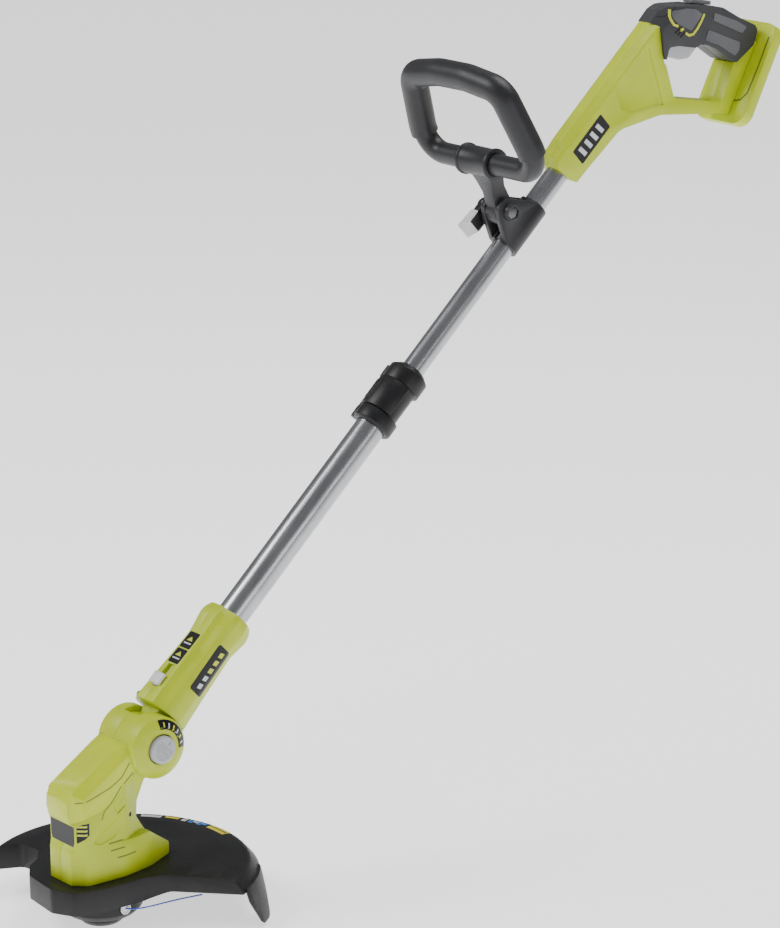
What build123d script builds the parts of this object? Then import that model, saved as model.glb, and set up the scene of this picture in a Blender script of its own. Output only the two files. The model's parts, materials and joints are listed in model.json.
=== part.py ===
"""Cordless string trimmer with a telescoping shaft, as separate pieces in millimetres.

Frame: origin on the ground under the spool's axis, +Z up, -Y to the nose, +Y to the operator.
Pieces on the shaft are drawn in the shaft's own frame (X sideways, Y to the rear and underside,
Z along the shaft towards the operator) and are then placed with SHAFT.
"""
from build123d import *
import math
import os

# Shaft line
SHAFT_ANGLE = 42.0           # degrees above the ground
SHAFT_HEIGHT = 128.0         # where the shaft's line crosses the spool's axis
RUNNING = 0.06               # radial clearance of a running fit
BODY_GAP = 0.4               # gap between curved faces of different bodies

# Tubes, measured along the shaft from the spool's axis
UPPER_R = 12.0
UPPER_WALL = 1.5
UPPER_LOW = 330.0
UPPER_TOP = 905.0
LOWER_R = 16.0
LOWER_WALL = 1.75
LOWER_LOW = 122.0
LOWER_TOP = 521.0
BUSH_LENGTH = 36.0

# Collar
COLLAR_LOW = 472.0
COLLAR_TOP = 547.0
RING_R = 21.8
RING_LENGTH = 16.0
WAIST_R = 18.4
LEVER_R = 23.0
LEVER_FROM = 14.0            # degrees from +X towards the front
LEVER_TO = 158.0
HINGE_ANGLE = 166.0
HINGE_PIN_R = 1.6

# Pivot between tail and head
PIVOT_ALONG = 72.0
PIVOT_FORWARD = 2.0
BOSS_R = 31.5
BOSS_HALF = 33.0
BOSS_FAR_HALF = 26.0
BOSS_NOSE = 5.5
BOSS_NOSE_R = 22.0
TONGUE_R = 26.0
TONGUE_HALF = 12.0
PIN_R = 6.0
PIN_FAR = 24.0               # how far the pin reaches to the plain side
BUTTON_R = 14.4
BUTTON_FACE = 43.0
BUTTON_DEPTH = 9.5
BUTTON_TRAVEL = 4.0
BUTTON_STEM_R = 4.0
SWING = 36.0                 # degrees each way

# Tail housing
TAIL_LOW = PIVOT_ALONG + BOSS_R + 1.5
TAIL_TOP = 227.0
TAIL_HALF = 25.0
SLEEVE_WALL = 2.4
SLEEVE_FLANGE = 3.0
RAIL_HALF = 10.0
KNOB_Y = -27.5               # underside of the edge slider's knob
KNOB_STEM_Y = -22.2
KNOB_LOW = 124.0

# Spool and cutting line
SPOOL_R = 41.5
SPOOL_LOW = 11.0
SPOOL_TOP = 44.0
BUMP_R = 25.0
LINE_HEIGHT = 24.5
LINE_D = 1.6
EYELET_R = 4.8
SHAFT_R = 4.0

# Head housing
BASE_HEIGHT = 53.0
HEAD_WALL = 2.6
WAIST_LOW = 90.0             # the neck is narrower behind between these heights
WAIST_TOP = 147.0
CAP_SLOPE = math.radians(32.3)
MOTOR_R = 19.0
MOTOR_LOW = 66.0
MOTOR_TOP = 128.0
HEAD_SCREW_SEAT = 14.0
BASE_SCREWS = [(-20, -24), (20, -24), (-10, 54), (10, 54)]

# Guard
GUARD_WALL = 2.8
GUARD_RIM_R = 141.0
GUARD_CENTRE = (-6.0, 26.0)
GUARD_NEAR_X = 42.0          # the skirt is shallower beyond this, on the near side
GUARD_SKIRT_LOW = 29.0
GUARD_RISE = 2.0             # how far the guard rises from the hub to its crown
FLAP_LOW = 5.0

# Loop handle
BRACKET_LOW = 713.0
BRACKET_TOP = 769.0
BRACKET_WALL = 3.6
BOLT_FORWARD = 31.0
BOLT_ALONG = 737.5
DISC_R = 15.0
DISC_HALF = 8.0
EAR_GAP = 0.4
EAR_WALL = 5.6
SLEEVE_ENDS = (-29.0, 19.0)
LEVER_PIN_R = 2.0
CAM_HALF = 8.0
LOOP_LEAN = 22.5             # degrees forward of upright
LOOP_TUBE_R = 11.5
LOOP_GRIP_R = 14.4
LOOP_BOTTOM = 58.0
LOOP_TOP = 161.0
LOOP_LOW_HALF = 86.0
LOOP_TOP_HALF = 70.0

# Rear handle
HANDLE_HALF = 14.5
HANDLE_LOW = 814.0
HANDLE_WALL = 2.6
GRIP_HALF = 17.5
GRIP_WALL = 3.0
TRIGGER_HALF = 6.0
TRIGGER_HINGE = (38.0, 1036.0)
TRIGGER_PIN_R = 2.0
SOCKET_HALF = 22.0
FOOT_HALF = 38.0
FOOT_THICK = 13.0
SCREW_R = 1.8
SCREW_HEAD_R = 3.2
SCREW_HEAD = 1.8

SHAFT = Plane(
    origin=(0, 0, SHAFT_HEIGHT),
    x_dir=(1, 0, 0),
    z_dir=(0, math.cos(math.radians(SHAFT_ANGLE)), math.sin(math.radians(SHAFT_ANGLE))),
)


def on_shaft(shape):
    """Move a piece drawn in the shaft's frame to its place on the trimmer."""
    return SHAFT * shape


def shaft_point(x, rear, along):
    """A point of the shaft's frame in the trimmer's frame."""
    return SHAFT.from_local_coords(Vector(x, rear, along))


def rod_z(radius, low, high, x=0.0, y=0.0):
    return Pos(x, y, (low + high) / 2) * Cylinder(radius, high - low)


def tube_z(outer, inner, low, high, x=0.0, y=0.0):
    return rod_z(outer, low, high, x, y) - rod_z(inner, low - 1, high + 1, x, y)


def rod_x(radius, low, high, y=0.0, z=0.0):
    return Pos((low + high) / 2, y, z) * Rot(0, 90, 0) * Cylinder(radius, high - low)


def tube_x(outer, inner, low, high, y=0.0, z=0.0):
    return rod_x(outer, low, high, y, z) - rod_x(inner, low - 1, high + 1, y, z)


def rod_y(radius, low, high, x=0.0, z=0.0):
    return Pos(x, (low + high) / 2, z) * Rot(-90, 0, 0) * Cylinder(radius, high - low)


def block(x, y, z):
    """A box from three (low, high) pairs."""
    centre = Pos(sum(x) / 2, sum(y) / 2, sum(z) / 2)
    return centre * Box(x[1] - x[0], y[1] - y[0], z[1] - z[0])


def outline(corners):
    """A flat face from (u, v) or (u, v, radius) corners."""
    face = make_face(Polyline(*[(c[0], c[1]) for c in corners], close=True))
    for corner in corners:
        if len(corner) == 3:
            vertex = face.vertices().sort_by_distance(Vector(corner[0], corner[1]))[0]
            face = fillet(vertex, corner[2])
    return face


def inset_outline(corners, inset):
    """The outline itself, or the same outline with sharp corners drawn in by inset."""
    if not inset:
        return outline(corners)
    return offset(outline([(c[0], c[1]) for c in corners]), -inset, kind=Kind.INTERSECTION)


def side_prism(face, low, high):
    """Extrude a (rear, up) face sideways from x = low to x = high."""
    return extrude(Plane.YZ.offset(low) * face, amount=high - low)


def flat_prism(face, low, high):
    """Extrude a plan face from z = low to z = high."""
    return extrude(Plane.XY.offset(low) * face, amount=high - low)


def halves(shape):
    """The -X and +X halves of a moulding split on its middle plane."""
    left = split(shape, bisect_by=Plane.YZ, keep=Keep.BOTTOM)
    right = split(shape, bisect_by=Plane.YZ, keep=Keep.TOP)
    return left, right


def spring_z(radius, low, high, wire, x=0.0, y=0.0):
    """A coil spring's envelope: a sleeve with one ridge for each turn."""
    turns = max(3, round((high - low) / (2.6 * wire)))
    pitch = (high - low) / turns
    outer = [(radius, low)]
    for turn in range(turns):
        outer.append((radius + wire, low + (turn + 0.5) * pitch))
        outer.append((radius, low + (turn + 1) * pitch))
    inner = [(r - wire, z) for r, z in reversed(outer)]
    face = make_face(Polyline(*(outer + inner), close=True))
    return Pos(x, y, 0) * revolve(Plane.XZ * face, Axis.Z)


def spring_x(radius, low, high, wire, y=0.0, z=0.0):
    return Pos(0, y, z) * Rot(0, 90, 0) * spring_z(radius, low, high, wire)


def spring_y(radius, low, high, wire, x=0.0, z=0.0):
    return Pos(x, 0, z) * Rot(-90, 0, 0) * spring_z(radius, low, high, wire)


def side_screws(places, seat, length):
    """Pan-head screws along +X whose heads sit at x = -seat, at each (y, z) place."""
    solids = []
    for y, z in places:
        shank = rod_x(SCREW_R, -seat, length - seat, y, z)
        solids.append(shank + rod_x(SCREW_HEAD_R, -seat - SCREW_HEAD, -seat, y, z))
    return solids


def side_screw_holes(places, seat, length):
    """What the same screws need cut: a running hole and a pocket for the head."""
    holes = []
    for y, z in places:
        hole = rod_x(SCREW_R + RUNNING, -seat - 1, length - seat + 0.5, y, z)
        holes.append(hole + rod_x(SCREW_HEAD_R + 0.3, -seat - 30, -seat, y, z))
    return Compound(children=holes)


# ---------------------------------------------------------------- shaft tubes and collar

def shaft_tubes():
    inner_of_lower = LOWER_R - LOWER_WALL
    upper = tube_z(UPPER_R, UPPER_R - UPPER_WALL, UPPER_LOW, UPPER_TOP)
    lower = tube_z(LOWER_R, inner_of_lower, LOWER_LOW, LOWER_TOP)
    bush = tube_z(inner_of_lower - RUNNING, UPPER_R, UPPER_LOW, UPPER_LOW + BUSH_LENGTH)
    lip = tube_z(inner_of_lower - RUNNING, UPPER_R - UPPER_WALL, UPPER_LOW - 4, UPPER_LOW)
    return {
        "upper_tube": on_shaft(upper),
        "lower_tube": on_shaft(lower),
        "tube_bush": on_shaft(bush + lip),
    }


def hinge_place():
    angle = math.radians(HINGE_ANGLE)
    reach = LEVER_R + 1.4
    return reach * math.cos(angle), -reach * math.sin(angle)


def sector(inner, outer, start, end, low, high):
    """A piece of ring between two angles, counted from +X towards the front."""
    ring = tube_z(outer, inner, low, high)
    far = outer * 3
    middle = (start + end) / 2
    spread = (end - start) / 2
    steps = 6
    points = [(0, 0)]
    for step in range(steps + 1):
        angle = math.radians(middle - spread + 2 * spread * step / steps)
        points.append((far * math.cos(angle), -far * math.sin(angle)))
    wedge = flat_prism(make_face(Polyline(*points, close=True)), low - 1, high + 1)
    return ring & wedge


def collar():
    px, py = hinge_place()
    low_ring = (COLLAR_LOW, COLLAR_LOW + RING_LENGTH)
    cone_from = COLLAR_TOP - 6
    top_ring = (cone_from - RING_LENGTH - 1, cone_from)
    body = rod_z(WAIST_R, low_ring[1] - 1, top_ring[0] + 1)
    body += chamfer(rod_z(RING_R, *low_ring).edges().sort_by(Axis.Z)[0], 2.4)
    body += rod_z(RING_R, *top_ring)
    body += Pos(0, 0, (cone_from + COLLAR_TOP) / 2) * Cone(RING_R, UPPER_R + 2.4, COLLAR_TOP - cone_from)
    for low, high in (low_ring, top_ring):
        body += rod_z(4.6, low + 2.4, high, px, py)
    body -= rod_z(LOWER_R, COLLAR_LOW - 1, LOWER_TOP)
    body -= rod_z(UPPER_R + RUNNING, LOWER_TOP - 1, COLLAR_TOP + 1)
    body -= rod_z(HINGE_PIN_R, COLLAR_LOW + 5, cone_from - 3, px, py)
    lever_low = low_ring[1] + 0.5
    lever_top = top_ring[0] - 0.5
    body -= rod_z(5.6, lever_low - 0.5, lever_top + 0.5, px, py)
    slot_angle = math.radians(-52)
    slot = Pos(0, 0, 506) * Rot(0, 0, math.degrees(-slot_angle) - 90)
    body -= slot * block((-0.8, 0.8), (-WAIST_R - 1, -WAIST_R + 1.2), (-9, 9))
    jaw_window = block((-7, 7), (-WAIST_R - 1, -LOWER_R + 1), (LOWER_TOP + 0.5, LOWER_TOP + 3))
    body -= jaw_window
    pin = rod_z(HINGE_PIN_R, COLLAR_LOW + 5, cone_from - 3, px, py)
    lever = sector(WAIST_R + BODY_GAP, LEVER_R, LEVER_FROM, LEVER_TO, lever_low, lever_top)
    knuckle = rod_z(4.2, lever_low, lever_top, px, py)
    lever += knuckle
    for angle in (96, 108, 120):
        turn = math.radians(angle)
        rib = rod_z(0.9, lever_low + 6, lever_top - 6, LEVER_R * math.cos(turn), -LEVER_R * math.sin(turn))
        lever += rib
    lever -= rod_z(WAIST_R + BODY_GAP, lever_low - 1, lever_top + 1)
    lever -= rod_z(HINGE_PIN_R + RUNNING, lever_low - 1, lever_top + 1, px, py)
    jaw_low = LOWER_TOP + 0.5
    jaw = tube_z(LOWER_R - 0.2, UPPER_R + RUNNING, jaw_low, jaw_low + 2.2)
    body -= rod_z(LOWER_R, LOWER_TOP - 1, jaw_low + 2.4)
    return {
        "collar_body": on_shaft(body),
        "collar_lever": on_shaft(lever),
        "collar_pin": on_shaft(pin),
        "collar_wiper": on_shaft(jaw),
    }


# ---------------------------------------------------------------- tail housing and pivot

def tail_section(grow):
    """The tail's cross-section: flat rail in front, ridges at the sides, round behind."""
    half = TAIL_HALF + grow
    front = 24.0 + grow
    rear = 19.0 + grow
    rail = RAIL_HALF + grow
    corners = [
        (-rail, -front, 2), (rail, -front, 2), (rail + 3, -front + 5), (half - 3, -15 - grow / 2, 3),
        (half, -10), (half, 4, 8), (half - 9, rear, 9),
        (-half + 9, rear, 9), (-half, 4, 8), (-half, -10), (-half + 3, -15 - grow / 2, 3), (-rail - 3, -front + 5),
    ]
    return outline(corners)


def tail_loft(stations, inset=0.0):
    faces = [Plane.XY.offset(z) * tail_section(grow - inset) for z, grow in stations]
    return loft(faces)


def tail():
    sleeve_r = LOWER_R + SLEEVE_WALL
    outer = tail_loft([(TAIL_LOW, 3.8), (150, 1.6), (192, 0.0)])
    outer += tail_loft([(192, 0.0), (203, 1.4), (211, 2.4)])
    outer += tail_loft([(211, 2.4), (218, 2.2), (TAIL_TOP, -0.8)])
    bore = rod_z(sleeve_r + RUNNING, LOWER_LOW + SLEEVE_FLANGE, TAIL_TOP + 1)
    chamber = rod_z(sleeve_r + SLEEVE_FLANGE + BODY_GAP, LOWER_LOW - 6, LOWER_LOW + SLEEVE_FLANGE + 3.4)
    neck_side = outline([
        (-13, PIVOT_ALONG), (13, PIVOT_ALONG), (10, TAIL_LOW - 9), (10, TAIL_LOW + 1), (-13.6, TAIL_LOW + 1),
    ])
    neck = side_prism(neck_side, -TONGUE_HALF, TONGUE_HALF)
    body = outer + neck
    pivot_y = -PIVOT_FORWARD
    body += rod_x(TONGUE_R, -TONGUE_HALF, TONGUE_HALF, pivot_y, PIVOT_ALONG)
    clear = rod_x(BOSS_R + 0.8, TONGUE_HALF, BOSS_HALF + 10, pivot_y, PIVOT_ALONG)
    clear += rod_x(BOSS_R + 0.8, -BOSS_HALF, -TONGUE_HALF, pivot_y, PIVOT_ALONG)
    body -= clear
    body -= bore + chamber
    body -= rod_x(PIN_R, -TONGUE_HALF - 1, TONGUE_HALF + 1, pivot_y, PIVOT_ALONG)
    slot = block((-4.2, 4.2), (KNOB_Y - 7, KNOB_STEM_Y + 0.3), (KNOB_LOW - 2, KNOB_LOW + 26))
    body -= slot
    low_screws = [(-20, TAIL_LOW + 5), (12, TAIL_LOW + 5)]
    top_screws = [(-21.9, TAIL_TOP - 19)]
    low_seat = TAIL_HALF - 6
    top_seat = RAIL_HALF
    body -= side_screw_holes(low_screws, low_seat, 2 * low_seat - 4)
    body -= side_screw_holes(top_screws, top_seat, 2 * top_seat - 3)
    left, right = halves(body)
    sleeve = tube_z(sleeve_r, LOWER_R, LOWER_LOW, TAIL_TOP - 4)
    sleeve += tube_z(sleeve_r + SLEEVE_FLANGE, LOWER_R, LOWER_LOW, LOWER_LOW + SLEEVE_FLANGE)
    sleeve += tube_z(sleeve_r + SLEEVE_FLANGE, LOWER_R - LOWER_WALL, LOWER_LOW - 3, LOWER_LOW)
    slider = block((-3.9, 3.9), (KNOB_Y - 0.5, KNOB_STEM_Y), (KNOB_LOW - 1, KNOB_LOW + 13))
    slider += block((-7.5, 7.5), (KNOB_Y - 4, KNOB_Y), (KNOB_LOW, KNOB_LOW + 12))
    pin = rod_x(PIN_R, -PIN_FAR, 20, pivot_y, PIVOT_ALONG)
    pin -= rod_x(BUTTON_STEM_R + RUNNING, 5, 21, pivot_y, PIVOT_ALONG)
    cap_back = BUTTON_FACE - BUTTON_DEPTH
    button = rod_x(BUTTON_R, cap_back, BUTTON_FACE, pivot_y, PIVOT_ALONG)
    button = chamfer(button.edges().sort_by(Axis.X)[-1], 1.2)
    for line in range(7):
        z = PIVOT_ALONG - 9 + 2.2 * line
        reach = math.sqrt(max(1.0, (BUTTON_R - 4) ** 2 - (z - PIVOT_ALONG) ** 2))
        button -= block((BUTTON_FACE - 0.6, BUTTON_FACE + 1), (pivot_y - reach, pivot_y + reach), (z, z + 0.9))
    button -= block((BUTTON_FACE - 0.6, BUTTON_FACE + 1), (pivot_y - 0.8, pivot_y + 0.8),
                    (PIVOT_ALONG + 7, PIVOT_ALONG + 12))
    button += rod_x(BUTTON_STEM_R, 11, cap_back + 1, pivot_y, PIVOT_ALONG)
    spring = spring_x(BUTTON_STEM_R + 1.8, 20.2, cap_back - 0.2, 0.8, pivot_y, PIVOT_ALONG)
    return {
        "tail_shell_left": on_shaft(left),
        "tail_shell_right": on_shaft(right),
        "tail_screws": on_shaft(Compound(children=side_screws(low_screws, low_seat, 2 * low_seat - 4)
                                         + side_screws(top_screws, top_seat, 2 * top_seat - 3))),
        "swivel_sleeve": on_shaft(sleeve),
        "edge_slider": on_shaft(slider),
        "pivot_pin": on_shaft(pin),
        "pivot_button": on_shaft(button),
        "button_spring": on_shaft(spring),
    }


# ---------------------------------------------------------------- head housing and motor

PIVOT = shaft_point(0, -PIVOT_FORWARD, PIVOT_ALONG)


NOSE_BAND_Y = -42.5          # the recessed band round the nose


def head_side(inset=0.0):
    """Side outline of the head housing: nose, cap, neck and heel; it runs on below the base."""
    if inset:
        return inset_outline([
            (NOSE_BAND_Y, 20), (NOSE_BAND_Y, 118), (-48, 128), (-48, 140), (-41, 151), (-26, 161), (4, 180),
            (30, 180), (33, 107), (44, 90), (62, 77), (80, 64), (80, 20),
        ], inset)
    return outline([
        (-47, 20), (-46, 86), (NOSE_BAND_Y, 92), (NOSE_BAND_Y, 113), (-46, 118), (-48.5, 128), (-48, 140),
        (-41, 151), (-26, 161), (4, 180), (PIVOT.Y - 15, PIVOT.Z + 14), (PIVOT.Y + 8, PIVOT.Z - 18), (48, 146),
        (35, 122), (33, 107), (44, 90), (62, 77), (80, 64), (80, 20),
    ])


def head_plan(inset=0.0):
    """Plan outline: blunt nose with cut corners and a tapering heel."""
    return inset_outline([
        (-18, -60), (-18, -46, 4), (-30, -34, 8), (-32, 10, 40), (-25, 45, 40), (-8, 80, 7), (8, 80, 7),
        (25, 45, 40), (32, 10, 40), (30, -34, 8), (18, -46, 4), (18, -60),
    ], inset)


def head_front(inset=0.0):
    """Front outline: a little wider at the base than above it."""
    return inset_outline([
        (-34, 20), (-33, 66), (-29, 92), (-29, 260), (29, 260), (29, 92), (33, 66), (34, 20),
    ], inset)


def cap_slope(inset=0.0):
    """A long bar along the cap's slope with the cap's flat top and its sloping shoulders."""
    top = Plane(origin=(0, -26, 161), x_dir=(1, 0, 0), z_dir=(0, math.cos(CAP_SLOPE), math.sin(CAP_SLOPE)))
    section = inset_outline([(-18, 0, 4), (18, 0, 4), (29.5, 11, 6), (34, 90), (34, 300), (-34, 300), (-34, 90),
                             (-29.5, 11, 6)], inset)
    return extrude(top.offset(-150) * section, amount=400)


def head_core(inset=0.0):
    """The housing's body without its bosses, drawn in by a wall's thickness."""
    core = side_prism(head_side(inset), -34, 34)
    core &= flat_prism(head_plan(inset), 10, 280)
    core &= extrude(Plane.XZ.offset(-150) * head_front(inset), amount=300)
    core &= cap_slope(inset)
    waist = outline([(60, -6), (29.5 - inset, -6), (28 - inset, 14), (17 - inset, 36), (12 - inset, 70), (60, 70)])
    cut = flat_prism(waist, WAIST_LOW - inset, WAIST_TOP)
    core -= cut
    core -= mirror(cut, Plane.YZ)
    return core & block((-60, 60), (-90, 120), (BASE_HEIGHT, 280))


def cap_region():
    """What the cap takes from the housing: above a line that climbs from the nose to the bosses."""
    return side_prism(outline([
        (-70, 117), (-46, 117), (-34, 123), (-14, 127), (0, 134), (26, 158), (14, 230), (-70, 230),
    ]), -60, 60)


def head():
    core = head_core(0.0)
    screws = [(-34, 74), (28, 66), (-30, 106), (60, 63)]
    posts = [rod_x(5.0, -34, 34, y, z) & core for y, z in screws]
    cavity = head_core(HEAD_WALL) & block((-40, 40), (-60, 60), (BASE_HEIGHT + HEAD_WALL, 150))
    bosses = rod_x(BOSS_R, -BOSS_FAR_HALF, BOSS_HALF, PIVOT.Y, PIVOT.Z)
    nose = Pos(BOSS_HALF + BOSS_NOSE / 2, PIVOT.Y, PIVOT.Z) * Rot(0, 90, 0) * Cone(BOSS_R, BOSS_NOSE_R, BOSS_NOSE)
    far = Pos(-BOSS_FAR_HALF - 1.5, PIVOT.Y, PIVOT.Z) * Rot(0, -90, 0) * Cone(BOSS_R, BOSS_R - 5, 3)
    body = core - cavity + bosses + nose + far
    for post in posts:
        body += post
    tongue_space = rod_x(TONGUE_R + BODY_GAP, -TONGUE_HALF - BODY_GAP, TONGUE_HALF + BODY_GAP, PIVOT.Y, PIVOT.Z)
    opening = []
    spread = SWING + 27.0
    for step in range(7):
        angle = math.radians(SHAFT_ANGLE - spread + 2 * spread * step / 6)
        opening.append((PIVOT.Y + 70 * math.cos(angle), PIVOT.Z + 70 * math.sin(angle)))
    wedge = make_face(Polyline((PIVOT.Y, PIVOT.Z), *opening, close=True))
    tongue_space += side_prism(wedge, -TONGUE_HALF - BODY_GAP, TONGUE_HALF + BODY_GAP)
    body -= tongue_space
    body -= rod_x(PIN_R + RUNNING, -PIN_FAR - 0.5, 24, PIVOT.Y, PIVOT.Z)
    body -= rod_x(BUTTON_R + 1.0, 26, BOSS_HALF + BOSS_NOSE + 1, PIVOT.Y, PIVOT.Z)
    body -= rod_x(BUTTON_STEM_R + 3.4, 19, 27, PIVOT.Y, PIVOT.Z)
    body -= rod_z(9.0, BASE_HEIGHT - 1, MOTOR_LOW)
    side_pocket = outline([(0, 125, 1), (20, 138, 1), (24, 133, 1), (4, 119, 1)])
    lower_pocket = outline([(-26, 96, 1), (-6, 109, 1), (16, 122, 1), (14, 112, 1), (0, 97, 1), (-16, 92, 1)])
    for side in (-1, 1):
        for pocket, depth in ((side_pocket, 1.3), (lower_pocket, 0.8)):
            reach = sorted((side * (29 - depth), side * 36))
            body -= side_prism(pocket, *reach)
    body -= side_screw_holes(screws, HEAD_SCREW_SEAT, 2 * HEAD_SCREW_SEAT - 3)
    for x, y in BASE_SCREWS:
        body -= rod_z(SCREW_R + RUNNING, BASE_HEIGHT - 1, BASE_HEIGHT + 9, x, y)
    left_core, right_core = halves(body - cap_region())
    cap = body & cap_region()
    motor = rod_z(MOTOR_R, MOTOR_LOW, MOTOR_TOP) + rod_z(7.0, MOTOR_TOP, MOTOR_TOP + 4)
    motor -= rod_z(SHAFT_R + RUNNING, MOTOR_LOW - 1, MOTOR_TOP + 2)
    seat = tube_z(MOTOR_R + 4, MOTOR_R, MOTOR_LOW + 6, MOTOR_LOW + 14)
    seat += tube_z(MOTOR_R + 4, 9.0, BASE_HEIGHT + HEAD_WALL, MOTOR_LOW)
    seat += tube_z(MOTOR_R + 4, MOTOR_R, MOTOR_LOW, MOTOR_LOW + 6)
    bearing = tube_z(8.9, SHAFT_R + RUNNING, BASE_HEIGHT + 2, BASE_HEIGHT + 9)
    spindle = rod_z(SHAFT_R, SPOOL_TOP - 14, MOTOR_TOP + 1.5)
    return {
        "head_shell_left": left_core,
        "head_shell_right": right_core,
        "head_cap": cap,
        "head_screws": Compound(children=side_screws(screws, HEAD_SCREW_SEAT, 2 * HEAD_SCREW_SEAT - 3)),
        "motor": motor,
        "motor_mount": seat,
        "spindle_bearing": bearing,
        "spindle": spindle,
    }


# ---------------------------------------------------------------- guard, blade, spool

def guard_plan(inset=0.0):
    """Plan of the guard: a sector about its own centre, and a nose under the head."""
    cx, cy = GUARD_CENTRE
    sweep_face = outline([
        (-170, -46), (-118, -46, 4), (-106, -22, 8), (-80, -18, 12), (-66, -30, 12), (-54, -48, 12), (-32, -63, 10),
        (14, -68, 10), (37, -56, 12), (45.5, -30, 30), (47.5, 22, 20), (56, 44, 20), (180, 127), (180, 220), (-220, 220),
        (-220, -46),
    ])
    if inset:
        sweep_face = offset(sweep_face, -inset, kind=Kind.INTERSECTION)
    return sweep_face & (Pos(cx, cy) * Circle(GUARD_RIM_R - inset))


def dome(lift):
    """The solid under the guard's top: flat at the hub and lower towards the rim."""
    crown = BASE_HEIGHT + GUARD_RISE - lift
    profile = outline([
        (0, 0), (0, BASE_HEIGHT - lift), (82, BASE_HEIGHT - lift, 60), (112, crown, 60), (131, crown - 1.0, 8),
        (GUARD_RIM_R, crown - 13), (GUARD_RIM_R, 0),
    ])
    return Pos(*GUARD_CENTRE, 0) * revolve(Plane.XZ * profile, Axis.Z)


def guard():
    outer = flat_prism(guard_plan(), GUARD_SKIRT_LOW, 90) & dome(0.0)
    inner = flat_prism(guard_plan(GUARD_WALL), GUARD_SKIRT_LOW - 1, 90) & dome(GUARD_WALL)
    shell = outer - inner
    shell -= rod_z(10.0, 0, 90)
    cx, cy = GUARD_CENTRE
    near_edge = outline([(18, 20), (20, GUARD_SKIRT_LOW), (44, 35), (94, 40.5), (100, 40.5), (100, 20)])
    shell -= side_prism(near_edge, GUARD_NEAR_X, 200)
    flap = revolve(Plane.XZ * make_face(Polyline(
        (GUARD_RIM_R - GUARD_WALL, 46), (GUARD_RIM_R, 46), (GUARD_RIM_R + 14, FLAP_LOW),
        (GUARD_RIM_R + 14 - GUARD_WALL, FLAP_LOW), close=True)), Axis.Z)
    flap = Pos(cx, cy, 0) * flap
    flap &= side_prism(outline([(92, 44), (94, 30), (108, 5, 6), (126, 5, 8), (142, 44)]), 60, 170)
    shell += flap
    blade_angle = math.radians(48)
    bx = cx + (GUARD_RIM_R - 5) * math.cos(blade_angle)
    by = cy + (GUARD_RIM_R - 5) * math.sin(blade_angle)
    place = Pos(bx, by, 0) * Rot(0, 0, 48)
    blade = place * block((-1.0, 1.0), (-14, 14), (20, 40))
    shell_clear = place * block((-1.02, 1.02), (-14.2, 14.2), (10, 40))
    shell -= shell_clear
    screws = []
    for across in (-8, 8):
        screw = rod_x(1.6, -6.5, -1.0, across, 34) + rod_x(3.0, -8.0, -6.5, across, 34)
        screws.append(place * screw)
    base_screws = []
    under = BASE_HEIGHT - GUARD_WALL
    for x, y in BASE_SCREWS:
        shell -= rod_z(SCREW_R + RUNNING, under - 1, BASE_HEIGHT + 1, x, y)
        base_screws.append(rod_z(SCREW_R, under, BASE_HEIGHT + 8, x, y)
                           + rod_z(SCREW_HEAD_R, under - SCREW_HEAD, under, x, y))
    return {
        "guard": shell,
        "guard_screws": Compound(children=base_screws),
        "line_blade": blade,
        "blade_screws": Compound(children=screws),
    }


def spool():
    wall = 2.2
    housing = rod_z(SPOOL_R, SPOOL_LOW, SPOOL_TOP)
    housing = chamfer(housing.edges().sort_by(Axis.Z)[0], 7.0)
    housing -= rod_z(SPOOL_R - wall, SPOOL_LOW + wall + 3, SPOOL_TOP - wall)
    housing -= rod_z(BUMP_R + BODY_GAP, SPOOL_LOW - 1, SPOOL_LOW + wall + 4)
    housing += rod_z(8.0, SPOOL_TOP - 17, SPOOL_TOP + 4)
    housing -= rod_z(SHAFT_R, SPOOL_TOP - 14, SPOOL_TOP + 5)
    eye_y = 0.0
    housing -= rod_x(EYELET_R, SPOOL_R - 6, SPOOL_R + 1, eye_y, LINE_HEIGHT)
    eyelet = rod_x(EYELET_R, SPOOL_R - 4, SPOOL_R + 0.4, eye_y, LINE_HEIGHT)
    eyelet += rod_x(EYELET_R + 1.2, SPOOL_R + 0.4, SPOOL_R + 1.4, eye_y, LINE_HEIGHT)
    eyelet -= rod_x(LINE_D / 2 + 0.3, SPOOL_R - 5, SPOOL_R - 0.5, eye_y, LINE_HEIGHT)
    eyelet -= rod_x(LINE_D / 2, SPOOL_R - 5, SPOOL_R + 3, eye_y, LINE_HEIGHT)
    reel_low = SPOOL_LOW + wall + 3.2
    reel = rod_z(13.0, reel_low, 36) + rod_z(SPOOL_R - wall - 4, reel_low, reel_low + 1.6)
    reel += rod_z(SPOOL_R - wall - 4, 32, 33.6)
    reel -= rod_z(8.0 + RUNNING, reel_low + 4, 37)
    wound = tube_z(30.0, 13.0, reel_low + 1.6, 32)
    bump = rod_z(BUMP_R, 0.0, reel_low) - rod_z(BUMP_R - 4, 4, reel_low - 3)
    bump = chamfer(bump.edges().group_by(Axis.Z)[0], 6.0)
    spring = spring_z(10.0, 36.0, SPOOL_TOP - wall, 0.9)
    return {
        "spool_housing": housing,
        "line_eyelet": eyelet,
        "line_reel": reel,
        "wound_line": wound,
        "bump_knob": bump,
        "bump_spring": spring,
    }


LINE_ROUTE = [
    (SPOOL_R - 0.5, 0.0, LINE_HEIGHT), (47.5, 3.0, 24.6), (51.5, 12.0, 24.5), (53.5, 25.0, 24.3),
    (54.5, 41.0, 24.1), (57.0, 61.0, 24.0), (61.5, 79.5, 24.0),
]


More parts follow.
